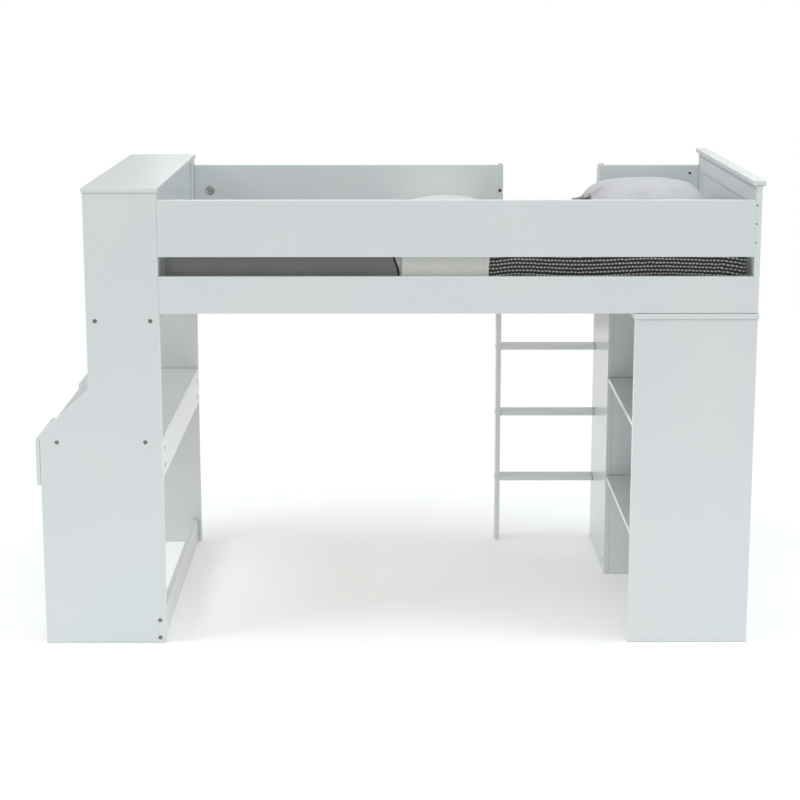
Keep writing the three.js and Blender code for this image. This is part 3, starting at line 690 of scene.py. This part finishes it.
def grid_piece(name, rows, material, closed_rows=False, close_ends=False, uv=None):
    """A mesh from rows of points, with a UV layer in metres where uv gives a pair for each point."""
    bm = bmesh.new()
    layer = bm.loops.layers.uv.new("UVMap")
    verts = [[bm.verts.new(p) for p in row] for row in rows]
    for r in range(len(rows) - 1):
        count = len(rows[r])
        for c in range(count if closed_rows else count - 1):
            d = (c + 1) % count
            face = bm.faces.new((verts[r][c], verts[r][d], verts[r + 1][d], verts[r + 1][c]))
            if uv:
                wrap = c + 1
                for loop, key in zip(face.loops, ((r, c), (r, wrap), (r + 1, wrap), (r + 1, c))):
                    loop[layer].uv = uv(*key)
    if close_ends:
        for row in (verts[0][::-1], verts[-1]):
            face = bm.faces.new(row)
            for loop in face.loops:
                loop[layer].uv = (loop.vert.co.x, loop.vert.co.z)
    bmesh.ops.recalc_face_normals(bm, faces=bm.faces)
    return new_piece(name, bm, material)


def rounded_block(low, high, radius, step):
    """A bmesh box with edges of that radius, its faces cut into a grid of about `step`."""
    bm = bmesh.new()
    size = high - low
    counts = [max(2, round(s / step)) for s in size]
    made = {}

    def vertex(i, j, k):
        key = (i, j, k)
        if key not in made:
            p = Vector([low[a] + size[a] * key[a] / counts[a] for a in range(3)])
            inner = Vector([min(max(p[a], low[a] + radius), high[a] - radius) for a in range(3)])
            away = p - inner
            made[key] = bm.verts.new(inner + away.normalized() * radius if away.length else p)
        return made[key]

    for axis in range(3):
        u, v = [a for a in range(3) if a != axis]
        for side in (0, counts[axis]):
            for i in range(counts[u]):
                for j in range(counts[v]):
                    corners = []
                    for di, dj in ((0, 0), (1, 0), (1, 1), (0, 1)):
                        key = [0, 0, 0]
                        key[axis], key[u], key[v] = side, i + di, j + dj
                        corners.append(vertex(*key))
                    bm.faces.new(corners)
    bmesh.ops.recalc_face_normals(bm, faces=bm.faces)
    return bm


def box_uv(bm):
    """UVs in metres, by each face's main direction."""
    layer = bm.loops.layers.uv.new("UVMap")
    for face in bm.faces:
        n = [abs(x) for x in face.normal]
        axis = n.index(max(n))
        u, v = [a for a in range(3) if a != axis]
        for loop in face.loops:
            loop[layer].uv = (loop.vert.co[u], loop.vert.co[v])


def make_mattress():
    """A mattress in a lavender fitted sheet: soft edges, a slight crown, gathers at the corners."""
    bm = rounded_block(MATTRESS_LOW, MATTRESS_HIGH, MATTRESS_RADIUS, MATTRESS_STEP)
    middle = (MATTRESS_LOW + MATTRESS_HIGH) / 2
    half = (MATTRESS_HIGH - MATTRESS_LOW) / 2
    for v in bm.verts:
        r = v.co - middle
        edge = max(abs(r.x) / half.x, abs(r.y) / half.y)
        if r.z > 0:
            v.co.z -= 5 * MM * smoothstep(0.6, 1.0, edge)
        corner = smoothstep(0.80, 1.0, abs(r.x) / half.x) * smoothstep(0.80, 1.0, abs(r.y) / half.y)
        gathers = noise.noise(v.co * Vector((60, 60, 9))) * 2.4 * MM * corner
        sway = noise.noise(v.co * 4.0) * 1.6 * MM + gathers
        inward = Vector((r.x / half.x, r.y / half.y, 0.4 * r.z / half.z)).normalized()
        v.co -= inward * (1.5 * MM + sway) * (1 if v.co.z > MATTRESS_LOW.z + MM else 0)
    box_uv(bm)
    piece = new_piece("fitted_mattress", bm, LAVENDER)
    round_off(piece)
    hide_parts("mattress")


make_mattress()


def round_the_edge(distance, lift):
    """Where a cloth lies that runs along the top to the near edge and then hangs down its side.

    `distance` is counted from the start of the bend, positive down the side. Returns y, z and the
    outward direction; `lift` is how far the cloth's middle stands off the mattress."""
    r = MATTRESS_RADIUS + lift
    quarter = r * math.pi / 2
    if distance <= 0:
        return BEND_Y - distance, MATTRESS_HIGH.z + lift, (0, 1)
    if distance < quarter:
        a = distance / r
        return BEND_Y - r * math.sin(a), BEND_Z + r * math.cos(a), (-math.sin(a), math.cos(a))
    return MATTRESS_LOW.y - lift, BEND_Z - (distance - quarter), (-1, 0)


def simulate(piece, frames, stiffness, shear, bending, damping, gravity=1, **settings):
    """Runs the piece as cloth for that many frames. The result becomes its mesh."""
    cloth = piece.modifiers.new("cloth", "CLOTH")
    s = cloth.settings
    s.tension_stiffness = s.compression_stiffness = stiffness
    s.shear_stiffness = shear
    s.bending_stiffness = bending
    s.tension_damping = s.compression_damping = damping
    s.effector_weights.gravity = gravity
    for key, value in settings.items():
        setattr(s, key, value)
    cloth.collision_settings.distance_min = MM
    cloth.point_cache.frame_start, cloth.point_cache.frame_end = 1, frames
    for number in range(1, frames + 1):
        bpy.context.scene.frame_set(number)
    graph = bpy.context.evaluated_depsgraph_get()
    done = bpy.data.meshes.new_from_object(piece.evaluated_get(graph))
    piece.modifiers.clear()
    piece.data = done
    bpy.context.scene.frame_set(1)


STUFFED = dict(quality=6, mass=0.3, stiffness=15, shear=5, bending=0.3, damping=15, air_damping=2)
SETTLED = dict(quality=5, mass=0.2, stiffness=12, shear=4, bending=0.12, damping=10, air_damping=3)
SETTLE_FRAMES = 18


def stuff(piece, pressure, frames):
    """Blows a closed piece up as stuffing does."""
    blown = dict(use_pressure=True, uniform_pressure_force=pressure)
    simulate(piece, frames, gravity=0, **STUFFED, **blown)


def limit_moves(piece, start, cap):
    """No point ends further from its start than cap() allows there."""
    for v, was in zip(piece.data.vertices, start):
        move = v.co - was
        if move.length > cap(was):
            v.co = was + move * (cap(was) / move.length)


# ---- Folded quilt ----

QUILT_LOW, QUILT_HIGH = box("folded_quilt")
QUILT_LAYERS = 3
QUILT_HANG_THICKNESS = 11 * MM
QUILT_LIFT = 1 * MM
QUILT_OVER_THROW = 12 * MM  # how far the throw runs in under the quilt's edge
QUILT_TUCK_ROOM = 7 * MM
QUILT_CURL = 9 * MM  # radius of a layer's folded edge
QUILT_STEP = 0.012
QUILT_ROUNDED_END = 0.04
QUILT_BEND = (MATTRESS_RADIUS + QUILT_LIFT) * math.pi / 2
QUILT_PRESSURE = 1.6
QUILT_FRAMES = 10


def quilt_section(width):
    """Closed outline of a stack of folded layers as (x, share of height).

    It has a fold at each layer's end."""
    layer = 1 / QUILT_LAYERS
    across, turn = 24, 5
    start, flat = -width / 2 + QUILT_CURL, width - 2 * QUILT_CURL
    outline = []
    for side, layers in ((1, range(QUILT_LAYERS)), (-1, reversed(range(QUILT_LAYERS)))):
        for i in range(across + 1):
            outline.append((side * (start + flat * i / across), (1 - side) / 2))
        for k in layers:
            for s in range(1, turn + 1):
                a = -side * math.pi / 2 + math.pi * s / (turn + 1)
                height = layer * (k + 0.5 + 0.5 * math.sin(a))
                outline.append((-side * start + QUILT_CURL * math.cos(a), height))
    return outline


def quilt_crown(x, width):
    """Thickness of the lying stack across its width, as a share: fullest right of its middle."""
    u = 2 * x / width
    return 1 - 0.50 * abs(u - 0.12) ** 2.4 / 1.12 ** 2.4


def quilt_row(base, d, width, flat_run, drop):
    """The quilt's section at a distance `d` past the start of the bend. It thins where it hangs."""
    full = QUILT_HIGH.z - MATTRESS_HIGH.z + 2 * MM
    middle = (QUILT_LOW.x + QUILT_HIGH.x) / 2
    y, z, (ny, nz) = round_the_edge(d, QUILT_LIFT)
    hanging = smoothstep(-0.13, QUILT_BEND * 0.9, d)
    end = math.sqrt(max(0.0, 1 - (1 - min(1, (d + flat_run + 4 * MM) / QUILT_ROUNDED_END)) ** 2))
    row = []
    for x, h in base:
        lying = full * quilt_crown(x, width) * end
        height = h * (lying * (1 - hanging) + QUILT_HANG_THICKNESS * hanging)
        dent = wobble(x * 6, d * 5, 7) * 7 * MM * (1 - hanging) * h
        ripple = wobble(x * 14, d * 3, h) * 1.1 * MM * h
        stray = (5 - 4 * hanging) * MM * abs(2 * x / width) ** 4
        side = wobble(d * 7, round(h * QUILT_LAYERS - 0.5) * 9, x * 2 + 5) * stray
        lean = 8 * MM * hanging * smoothstep(-0.02, drop, d) * smoothstep(0, width / 2, x)
        tuck = QUILT_TUCK_ROOM * (1 - h) * smoothstep(width / 2 - 0.030, width / 2 - 0.016, x)
        off = height + dent + ripple + tuck
        row.append(Vector((middle + x * 0.985 + side - lean, y + ny * off, z + nz * off)))
    return row


def make_quilt():
    """The quilt lies across the mattress in folded layers and hangs down the near side."""
    width = QUILT_HIGH.x - QUILT_LOW.x - 2 * MM
    flat_run = QUILT_HIGH.y - 2 * MM - BEND_Y
    drop = BEND_Z - QUILT_LOW.z - 3 * MM
    length = flat_run + QUILT_BEND + drop
    count = round(length / QUILT_STEP)
    base = quilt_section(width)
    places = [-flat_run + length * n / count for n in range(count + 1)]
    rows = [quilt_row(base, d, width, flat_run, drop) for d in places]
    girth = 2 * width
    uv = lambda r, c: (girth * c / len(base), length * r / count)
    piece = grid_piece("folded_quilt_soft", rows, QUILT, True, True, uv)
    start = [v.co.copy() for v in piece.data.vertices]
    stuff(piece, QUILT_PRESSURE, QUILT_FRAMES)
    limit_moves(piece, start, lambda p: (1.5 if p.y < MATTRESS_LOW.y + 0.08 else 6) * MM)
    round_off(piece)
    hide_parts("folded_quilt")


make_quilt()

# ---- Sheets laid over the mattress ----

SHEET_STEP = 0.012


def cover_rows(start, end, far, hang, lift, wraps):
    """Rows of points for a cloth that lies on the mattress from `start` to `end` along X.

    It runs from `far` on the top to the near edge and hangs by `hang`. With `wraps` of 1 or -1 its
    last columns go down over the mattress's head or foot. The second result gives a point's flat place."""
    flat_run = far - BEND_Y
    run = flat_run + (MATTRESS_RADIUS + lift) * math.pi / 2 + hang
    down = round(run / SHEET_STEP)
    along = round((end - start) / SHEET_STEP)
    rows = []
    for n in range(down + 1):
        y, z, _ = round_the_edge(-flat_run + run * n / down, lift)
        columns = (start + (end - start) * c / along for c in range(along + 1))
        rows.append([corner_wrap(x, y, z, wraps, lift) for x in columns])
    return rows, lambda r, c: ((end - start) * c / along, run * r / down)


def corner_wrap(x, y, z, wraps, lift):
    """Takes a point that runs past the mattress's end round its edge, as a tucked cloth goes."""
    radius = MATTRESS_RADIUS + lift
    edge = MATTRESS_HIGH.x - MATTRESS_RADIUS if wraps > 0 else MATTRESS_LOW.x + MATTRESS_RADIUS
    past = (x - edge) * wraps
    if past <= 0:
        return Vector((x, y, z))
    a = min(past / radius, math.pi / 2)
    beyond = max(0, past - radius * math.pi / 2)
    out = BEND_Y - y
    if out <= 0:
        fall = radius * (1 - math.cos(a)) + beyond
        return Vector((edge + wraps * radius * math.sin(a), y, MATTRESS_HIGH.z + lift - fall))
    across = edge + wraps * out * math.sin(a)
    back = BEND_Y - out * math.cos(a) + beyond * smoothstep(0, radius, out)
    sink = (radius * (1 - math.cos(a)) + beyond) * (1 - smoothstep(0, radius, out))
    return Vector((across, back, z - sink))


def crumple(piece, held, swell, cap):
    """Lets a sheet that is a little too large settle on the mattress, which wrinkles it.

    `held` gives how firmly a point stays, from 0 to 1. No point moves further than `cap`."""
    start = [v.co.copy() for v in piece.data.vertices]
    group = piece.vertex_groups.new(name="held")
    for v in piece.data.vertices:
        group.add([v.index], held(v.co), "REPLACE")
    mattress = bpy.data.objects["fitted_mattress"]
    solid = mattress.modifiers.new("solid", "COLLISION")
    mattress.collision.thickness_outer = MM
    mattress.collision.cloth_friction = 20
    grown = dict(shrink_min=-swell, shrink_max=-swell, vertex_group_mass="held", pin_stiffness=2)
    simulate(piece, SETTLE_FRAMES, **SETTLED, **grown)
    mattress.modifiers.remove(solid)
    piece.vertex_groups.clear()
    limit_moves(piece, start, lambda p: cap)


def held_at_edges(start, end, far, margin):
    """A hold that is firm at the sheet's rim and where it hangs, and slack on the mattress's top."""
    def held(p):
        rim = min(p.x - start, end - p.x, far - p.y)
        hanging = smoothstep(0, -MATTRESS_RADIUS, p.y - MATTRESS_LOW.y - MATTRESS_RADIUS)
        return max(1 - smoothstep(0, margin, rim), 0.92 * hanging)

    return held


def laid_cloth(piece, hold, swell, cap, thickness):
    """Settles a sheet on the mattress, then gives it its thickness."""
    crumple(piece, hold, swell, cap)
    shell = piece.modifiers.new("thickness", "SOLIDIFY")
    shell.thickness = thickness
    shell.offset = 0
    round_off(piece)


THROW_LOW, THROW_HIGH = box("woven_throw")
THROW_LIFT = 3.5 * MM
THROW_THICKNESS = 3.2 * MM
END_TUCK = 0.075
THROW_END_FULLNESS = 15 * MM
THROW_SWELL = 0.010  # share by which the simulated cloth grows


def make_throw():
    """The woven throw covers the head half of the mattress and hangs down its near side."""
    hang = BEND_Z - THROW_LOW.z - 4 * MM
    start = QUILT_HIGH.x - QUILT_OVER_THROW
    end = MATTRESS_HIGH.x - MATTRESS_RADIUS + END_TUCK
    far = THROW_HIGH.y - 8 * MM
    rows, uv = cover_rows(start, end, far, hang, THROW_LIFT, 1)
    for row in rows:
        for p in row:
            ripple = wobble(p.x * 6, p.y * 6, p.z * 3)
            p.x += THROW_END_FULLNESS * smoothstep(MATTRESS_HIGH.x - 0.09, MATTRESS_HIGH.x, p.x)
            if p.y > BEND_Y:
                p.z += 1.0 * MM + ripple * 1.2 * MM
            else:
                p.y -= ripple * 1.2 * MM
    piece = grid_piece("woven_throw_cloth", rows, CHARCOAL, uv=uv)
    hold = held_at_edges(start, MATTRESS_HIGH.x, far, 0.03)
    laid_cloth(piece, hold, THROW_SWELL, 9 * MM, THROW_THICKNESS)
    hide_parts("woven_throw")


COVERLET_LIFT = 2.4 * MM
COVERLET_THICKNESS = 1.8 * MM
COVERLET_SHOWING = 6 * MM  # how much of the mattress shows beside the quilt, at the least
COVERLET_SWEEP = 20 * MM
COVERLET_END_FULLNESS = 10 * MM
COVERLET_SWELL = 0.012
PIPING_RADIUS = 3.3 * MM


def make_coverlet():
    """A dark grey coverlet over the foot half, edged with black piping beside the quilt."""
    start, end = MATTRESS_LOW.x + MATTRESS_RADIUS - END_TUCK, QUILT_LOW.x - COVERLET_SHOWING
    hang = BEND_Z - MATTRESS_LOW.z - 14 * MM
    far = MATTRESS_HIGH.y - 12 * MM
    rows, uv = cover_rows(start, end, far, hang, COVERLET_LIFT, -1)
    high, low = box("guard_rail_near")[0].z, box("side_rail_near")[1].z
    for row in rows:
        for p in row:
            ripple = wobble(p.x * 5 + 9, p.y * 5, p.z * 4)
            near_edge = smoothstep(end - 0.08, end, p.x)
            p.x -= COVERLET_END_FULLNESS * smoothstep(MATTRESS_LOW.x + 0.09, MATTRESS_LOW.x, p.x)
            p.x -= COVERLET_SWEEP * near_edge * smoothstep(low, high + 10 * MM, p.z)
            if p.y > BEND_Y:
                p.z += 0.8 * MM + ripple * 1.4 * MM
                p.x += 9 * MM * wobble(p.y * 5, 3, 1) * near_edge
            else:
                p.y -= ripple * 1.0 * MM
    piece = grid_piece("grey_coverlet", rows, GREY_SHEET, uv=uv)
    hold = held_at_edges(MATTRESS_LOW.x, end, far, 0.05)
    laid_cloth(piece, hold, COVERLET_SWELL, 10 * MM, COVERLET_THICKNESS)
    edge = [piece.data.vertices[(n + 1) * len(rows[0]) - 1].co.copy() for n in range(len(rows))]
    piping("coverlet_piping", edge, PIPING_RADIUS)


def piping(name, points, radius):
    """A round corded edge along a line of points, as a mesh tube with closed ends."""
    around = 10
    rows = []
    for i, p in enumerate(points):
        ahead = (points[min(i + 1, len(points) - 1)] - points[max(i - 1, 0)]).normalized()
        side = ahead.cross(Vector((1, 0, 0))).normalized()
        up = ahead.cross(side).normalized()
        turns = [2 * math.pi * k / around for k in range(around)]
        rows.append([p + radius * (side * math.cos(a) + up * math.sin(a)) for a in turns])
    uv = lambda r, c: (c * radius, r * SHEET_STEP)
    piece = grid_piece(name, rows, DARK_PIPING, True, True, uv)
    round_off(piece)


make_throw()
make_coverlet()

# ---- Pillows ----

PILLOW_STEP = 0.0125
PILLOW_CORNER = 0.055
PILLOW_EASE = 1.02  # size of the flat panels over the size of the stuffed pillow
PILLOW_BULGE = 0.03
PILLOW_PRESSURE = 0.95
PILLOW_FRAMES = 28
CREASE_DEPTH = 10 * MM


def rounded_rectangle(u, v, width, length, corner):
    """The point at shares u and v of a rectangle whose corners are rounded."""
    x, y = (u - 0.5) * width, (v - 0.5) * length
    over_x = abs(x) - (width / 2 - corner)
    over_y = abs(y) - (length / 2 - corner)
    if over_x > 0 and over_y > 0:
        scale = max(over_x, over_y) / math.hypot(over_x, over_y)
        x = math.copysign(width / 2 - corner + over_x * scale, x)
        y = math.copysign(length / 2 - corner + over_y * scale, y)
    return x, y


def sewn_panels(width, length):
    """Two panels sewn together at their rim, a little bulged, as a bmesh round the origin."""
    bm = bmesh.new()
    layer = bm.loops.layers.uv.new("UVMap")
    nx, ny = round(width / PILLOW_STEP), round(length / PILLOW_STEP)
    rim = {}
    for sign in (1, -1):
        verts = dict(rim)
        for i in range(nx + 1):
            for j in range(ny + 1):
                if (i, j) in verts:
                    continue
                x, y = rounded_rectangle(i / nx, j / ny, width, length, PILLOW_CORNER)
                dome = max(0, (1 - (2 * x / width) ** 2) * (1 - (2 * y / length) ** 2)) ** 0.5
                rough = abs(wobble(x * 30, y * 30, sign)) * 1.5 * MM
                on_rim = i in (0, nx) or j in (0, ny)
                z = 0 if on_rim else sign * (MM + PILLOW_BULGE * dome + rough)
                verts[i, j] = bm.verts.new((x, y, z))
                if on_rim:
                    rim[i, j] = verts[i, j]
        for i in range(nx):
            for j in range(ny):
                corners = [verts[i, j], verts[i + 1, j], verts[i + 1, j + 1], verts[i, j + 1]]
                face = bm.faces.new(corners if sign > 0 else corners[::-1])
                face.material_index = 0 if sign > 0 else 1
                for loop in face.loops:
                    loop[layer].uv = loop.vert.co.xy
    return bm


def extent(piece):
    """The least and the greatest corner of the box round a piece's points."""
    points = [v.co for v in piece.data.vertices]
    return [Vector([pick(p[a] for p in points) for a in range(3)]) for pick in (min, max)]


def fit_pillow(piece, low, high, seam_share):
    """Fits the stuffed shape between two corners, with its seam at a share of the height."""
    least, most = extent(piece)
    seam = low.z + seam_share * (high.z - low.z)
    for v in piece.data.vertices:
        for a in (0, 1):
            v.co[a] = low[a] + (v.co[a] - least[a]) / (most[a] - least[a]) * (high[a] - low[a])
        if v.co.z >= 0:
            v.co.z = seam + v.co.z / most.z * (high.z - seam)
        else:
            v.co.z = seam - (v.co.z / least.z) ** 0.75 * (seam - low.z)


def crease(piece, turn):
    """Long soft creases across a pillow's faces, at an angle to its sides."""
    along = Vector((math.cos(turn), math.sin(turn), 0))
    across = Vector((-math.sin(turn), math.cos(turn), 0))
    moves = []
    for v in piece.data.vertices:
        p = v.co
        fold = min(0, wobble(p.dot(along) * 3.5, p.dot(across) * 17, 2.0))
        fine = min(0, wobble(p.dot(along) * 8, p.dot(across) * 38, 5.0))
        moves.append(v.normal * (fold * CREASE_DEPTH + fine * 0.4 * CREASE_DEPTH) * abs(v.normal.z))
    for v, move in zip(piece.data.vertices, moves):
        v.co += move


def droop_edges(piece, depth):
    """A soft pillow that lies on another hangs over its edges, and thins towards them."""
    least, most = extent(piece)
    middle = [(least[a] + most[a]) / 2 for a in range(2)]
    reach = [most[a] - middle[a] for a in range(2)]
    foot = least.z
    for v in piece.data.vertices:
        u = sum(abs((v.co[a] - middle[a]) / reach[a]) ** 4 for a in range(2)) ** 0.25
        v.co.z = foot + (v.co.z - foot) * (1 - 0.16 * u * u) - depth * min(u, 1) ** 6


def make_pillow(name, node, materials, seam_share, inset, turn, droop=0.0):
    """A pillow in a node's place: two stuffed panels, creased at `turn` to its sides."""
    low, high = box(node)
    size = high - low
    panels = sewn_panels(PILLOW_EASE * size.x, PILLOW_EASE * size.y)
    piece = new_piece(name, panels, materials)
    stuff(piece, PILLOW_PRESSURE, PILLOW_FRAMES)
    room = Vector((inset, inset, 0.6 * MM))
    fit_pillow(piece, low + room, high - room, seam_share)
    crease(piece, turn)
    droop_edges(piece, droop)
    round_off(piece)
    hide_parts(node)
    return piece


def seam_points(mesh):
    """The points where the two panels meet, in order round the pillow."""
    panels = {}
    for face in mesh.polygons:
        for key in face.edge_keys:
            panels.setdefault(key, set()).add(face.material_index)
    links = {}
    for (a, b), met in panels.items():
        if len(met) == 2:
            links.setdefault(a, []).append(b)
            links.setdefault(b, []).append(a)
    first = min(links)
    loop = [first, links[first][0]]
    while True:
        ahead = [n for n in links[loop[-1]] if n != loop[-2]][0]
        if ahead == first:
            return [mesh.vertices[i].co.copy() for i in loop]
        loop.append(ahead)


FLANGE_HALF_THICKNESS = 0.9 * MM


def pillow_flange(piece, name, material, width):
    """A flat stitched border round a pillow's seam, a little wavy, as a closed thin mesh."""
    points = piece.data.vertices
    centre = sum((v.co for v in points), Vector()) / len(points)
    rim = seam_points(piece.data)
    up = Vector((0, 0, FLANGE_HALF_THICKNESS))
    rows = []
    for i, p in enumerate(rim):
        along = (rim[(i + 1) % len(rim)] - rim[i - 1]).normalized()
        out = along.cross(Vector((0, 0, 1))).normalized()
        if out.dot(p - centre) < 0:
            out = -out
        droop = noise.noise(p * 16) * 3.5 * MM
        tip = p + out * width + Vector((0, 0, droop))
        mid = p + out * width * 0.5 + Vector((0, 0, 0.4 * droop + noise.noise(p * 40) * MM))
        root = p - out * 3 * MM
        rows.append([root + up, mid + up, tip + 0.9 * up, tip - 0.9 * up, mid - up, root - up])
    rows.append(rows[0])
    uv = lambda r, c: (c * 6 * MM, r * PILLOW_STEP)
    ring = grid_piece(name, rows, material, closed_rows=True, uv=uv)
    ring.modifiers.new("weld", "WELD").merge_threshold = 0.00005
    round_off(ring)


def end_bands(piece, share):
    """Faces at the pillow's two ends, past that share of its half length, take its second, darker
    material.
    """
    least, most = [corner.x for corner in extent(piece)]
    for face in piece.data.polygons:
        if abs(2 * face.center.x - least - most) > share * (most - least):
            face.material_index = 1


BORDER = 12 * MM  # round the lavender pillow
FLANGE = 15 * MM  # round the cream pillow
LAVENDER_SEAM, CREAM_SEAM = 0.42, 0.60  # shares of the pillow's height
LAVENDER_TURN, CREAM_TURN = 0.9, 2.2  # radians from the creases to the X axis
LAVENDER_DROOP = 46 * MM
BAND_START = 0.90


def make_pillows():
    """The lavender pillow with its dark back and border lies on the cream one."""
    pillow = make_pillow("pillow_lavender", "pillow_upper", [LAVENDER, PILLOW_BACK],
                         LAVENDER_SEAM, BORDER, LAVENDER_TURN, LAVENDER_DROOP)
    pillow_flange(pillow, "pillow_lavender_border", PILLOW_BACK, BORDER - 2 * MM)
    end_bands(pillow, BAND_START)
    pillow = make_pillow("pillow_cream", "pillow_lower", [CREAM, CREAM],
                         CREAM_SEAM, FLANGE, CREAM_TURN)
    pillow_flange(pillow, "pillow_cream_flange", CREAM, FLANGE - 2 * MM)


make_pillows()

# ---- Floor and light ----

FLOOR_HALF = 4.6  # past it the white backdrop goes on
FLOOR_GLOW = 0.2  # under the bed; it rises to 1 at the sweep's end
SWEEP_START, SWEEP_END = 1.3, 4.2
BACKDROP = 1.0
AMBIENT = 0.47
COOL = (0.91, 0.99, 1.0)
AIM = (0, 0, 0.9)


def make_floor():
    """A pale matt floor that runs out into a white sweep away from the bed."""
    bm = bmesh.new()
    bmesh.ops.create_grid(bm, x_segments=1, y_segments=1, size=FLOOR_HALF)
    floor, mesh = mesh_object("floor", bm)
    f = Finish("pale_floor", Specular_IOR_Level=0.1)
    tone = f.mix(f.remap(f.noise(0.6, 2), 0.3, 0.7), (0.86, 0.86, 0.86, 1), (0.88, 0.88, 0.88, 1))
    away = f.add("VectorMath", {0: f.coords()}, operation="LENGTH").outputs["Value"]
    sweep = f.remap(away, SWEEP_START, SWEEP_END, 0, 1, smooth=True)
    tone = f.mix(sweep, tone, (0, 0, 0, 1))
    glow = f.remap(sweep, 0, 1, FLOOR_GLOW, 1.0)
    mesh.materials.append(f.finish(Base_Color=tone, Roughness=0.9, Emission_Strength=glow,
                                   Emission_Color=(1, 1, 1, 1)))


def area_light(name, place, size, watts, color=COOL, shadow=True):
    data = bpy.data.lights.new(name, "AREA")
    data.shape = "RECTANGLE"
    data.size, data.size_y = size
    data.energy = watts
    data.color = color
    data.use_shadow = shadow
    light = new_object(name, data)
    light.location = place
    light.rotation_euler = (Vector(AIM) - Vector(place)).to_track_quat("-Z", "Y").to_euler()


def make_world():
    """A white backdrop that lights the bed less than it shows."""
    world = bpy.data.worlds.new("studio")
    world.use_nodes = True
    nodes, links = world.node_tree.nodes, world.node_tree.links
    ground = nodes["Background"]
    ground.inputs["Color"].default_value = (1.0, 1.0, 1.0, 1)
    seen = nodes.new("ShaderNodeLightPath").outputs["Is Camera Ray"]
    strength = nodes.new("ShaderNodeMapRange")
    strength.inputs["To Min"].default_value = AMBIENT
    strength.inputs["To Max"].default_value = BACKDROP
    links.new(seen, strength.inputs["Value"])
    links.new(strength.outputs[0], ground.inputs["Strength"])
    bpy.context.scene.world = world


def make_light():
    area_light("front", (0.4, -8.0, 8.7), (9.0, 5.2), 92, (1, 1, 1))
    area_light("left", (-9.5, -2.0, 7.5), (6.0, 5.2), 450)
    area_light("right", (9.5, -2.0, 7.5), (6.0, 5.2), 330)
    area_light("top", (0, -0.3, 5.2), (4.5, 3.0), 42)
    area_light("back", (0.5, 5.2, 3.6), (4.5, 2.6), 44, (1, 1, 1))
    area_light("fill_front", (0.0, -10.0, 3.5), (6.0, 6.0), 92, shadow=False)
    area_light("fill_left", (-5.2, -1.6, 3.0), (3.0, 3.0), 26, shadow=False)
    area_light("fill_right", (5.2, -1.6, 3.0), (3.0, 3.0), 34, shadow=False)
    view = bpy.context.scene.view_settings
    view.view_transform = "Standard"
    view.look = "None"


make_world()
make_floor()
make_light()
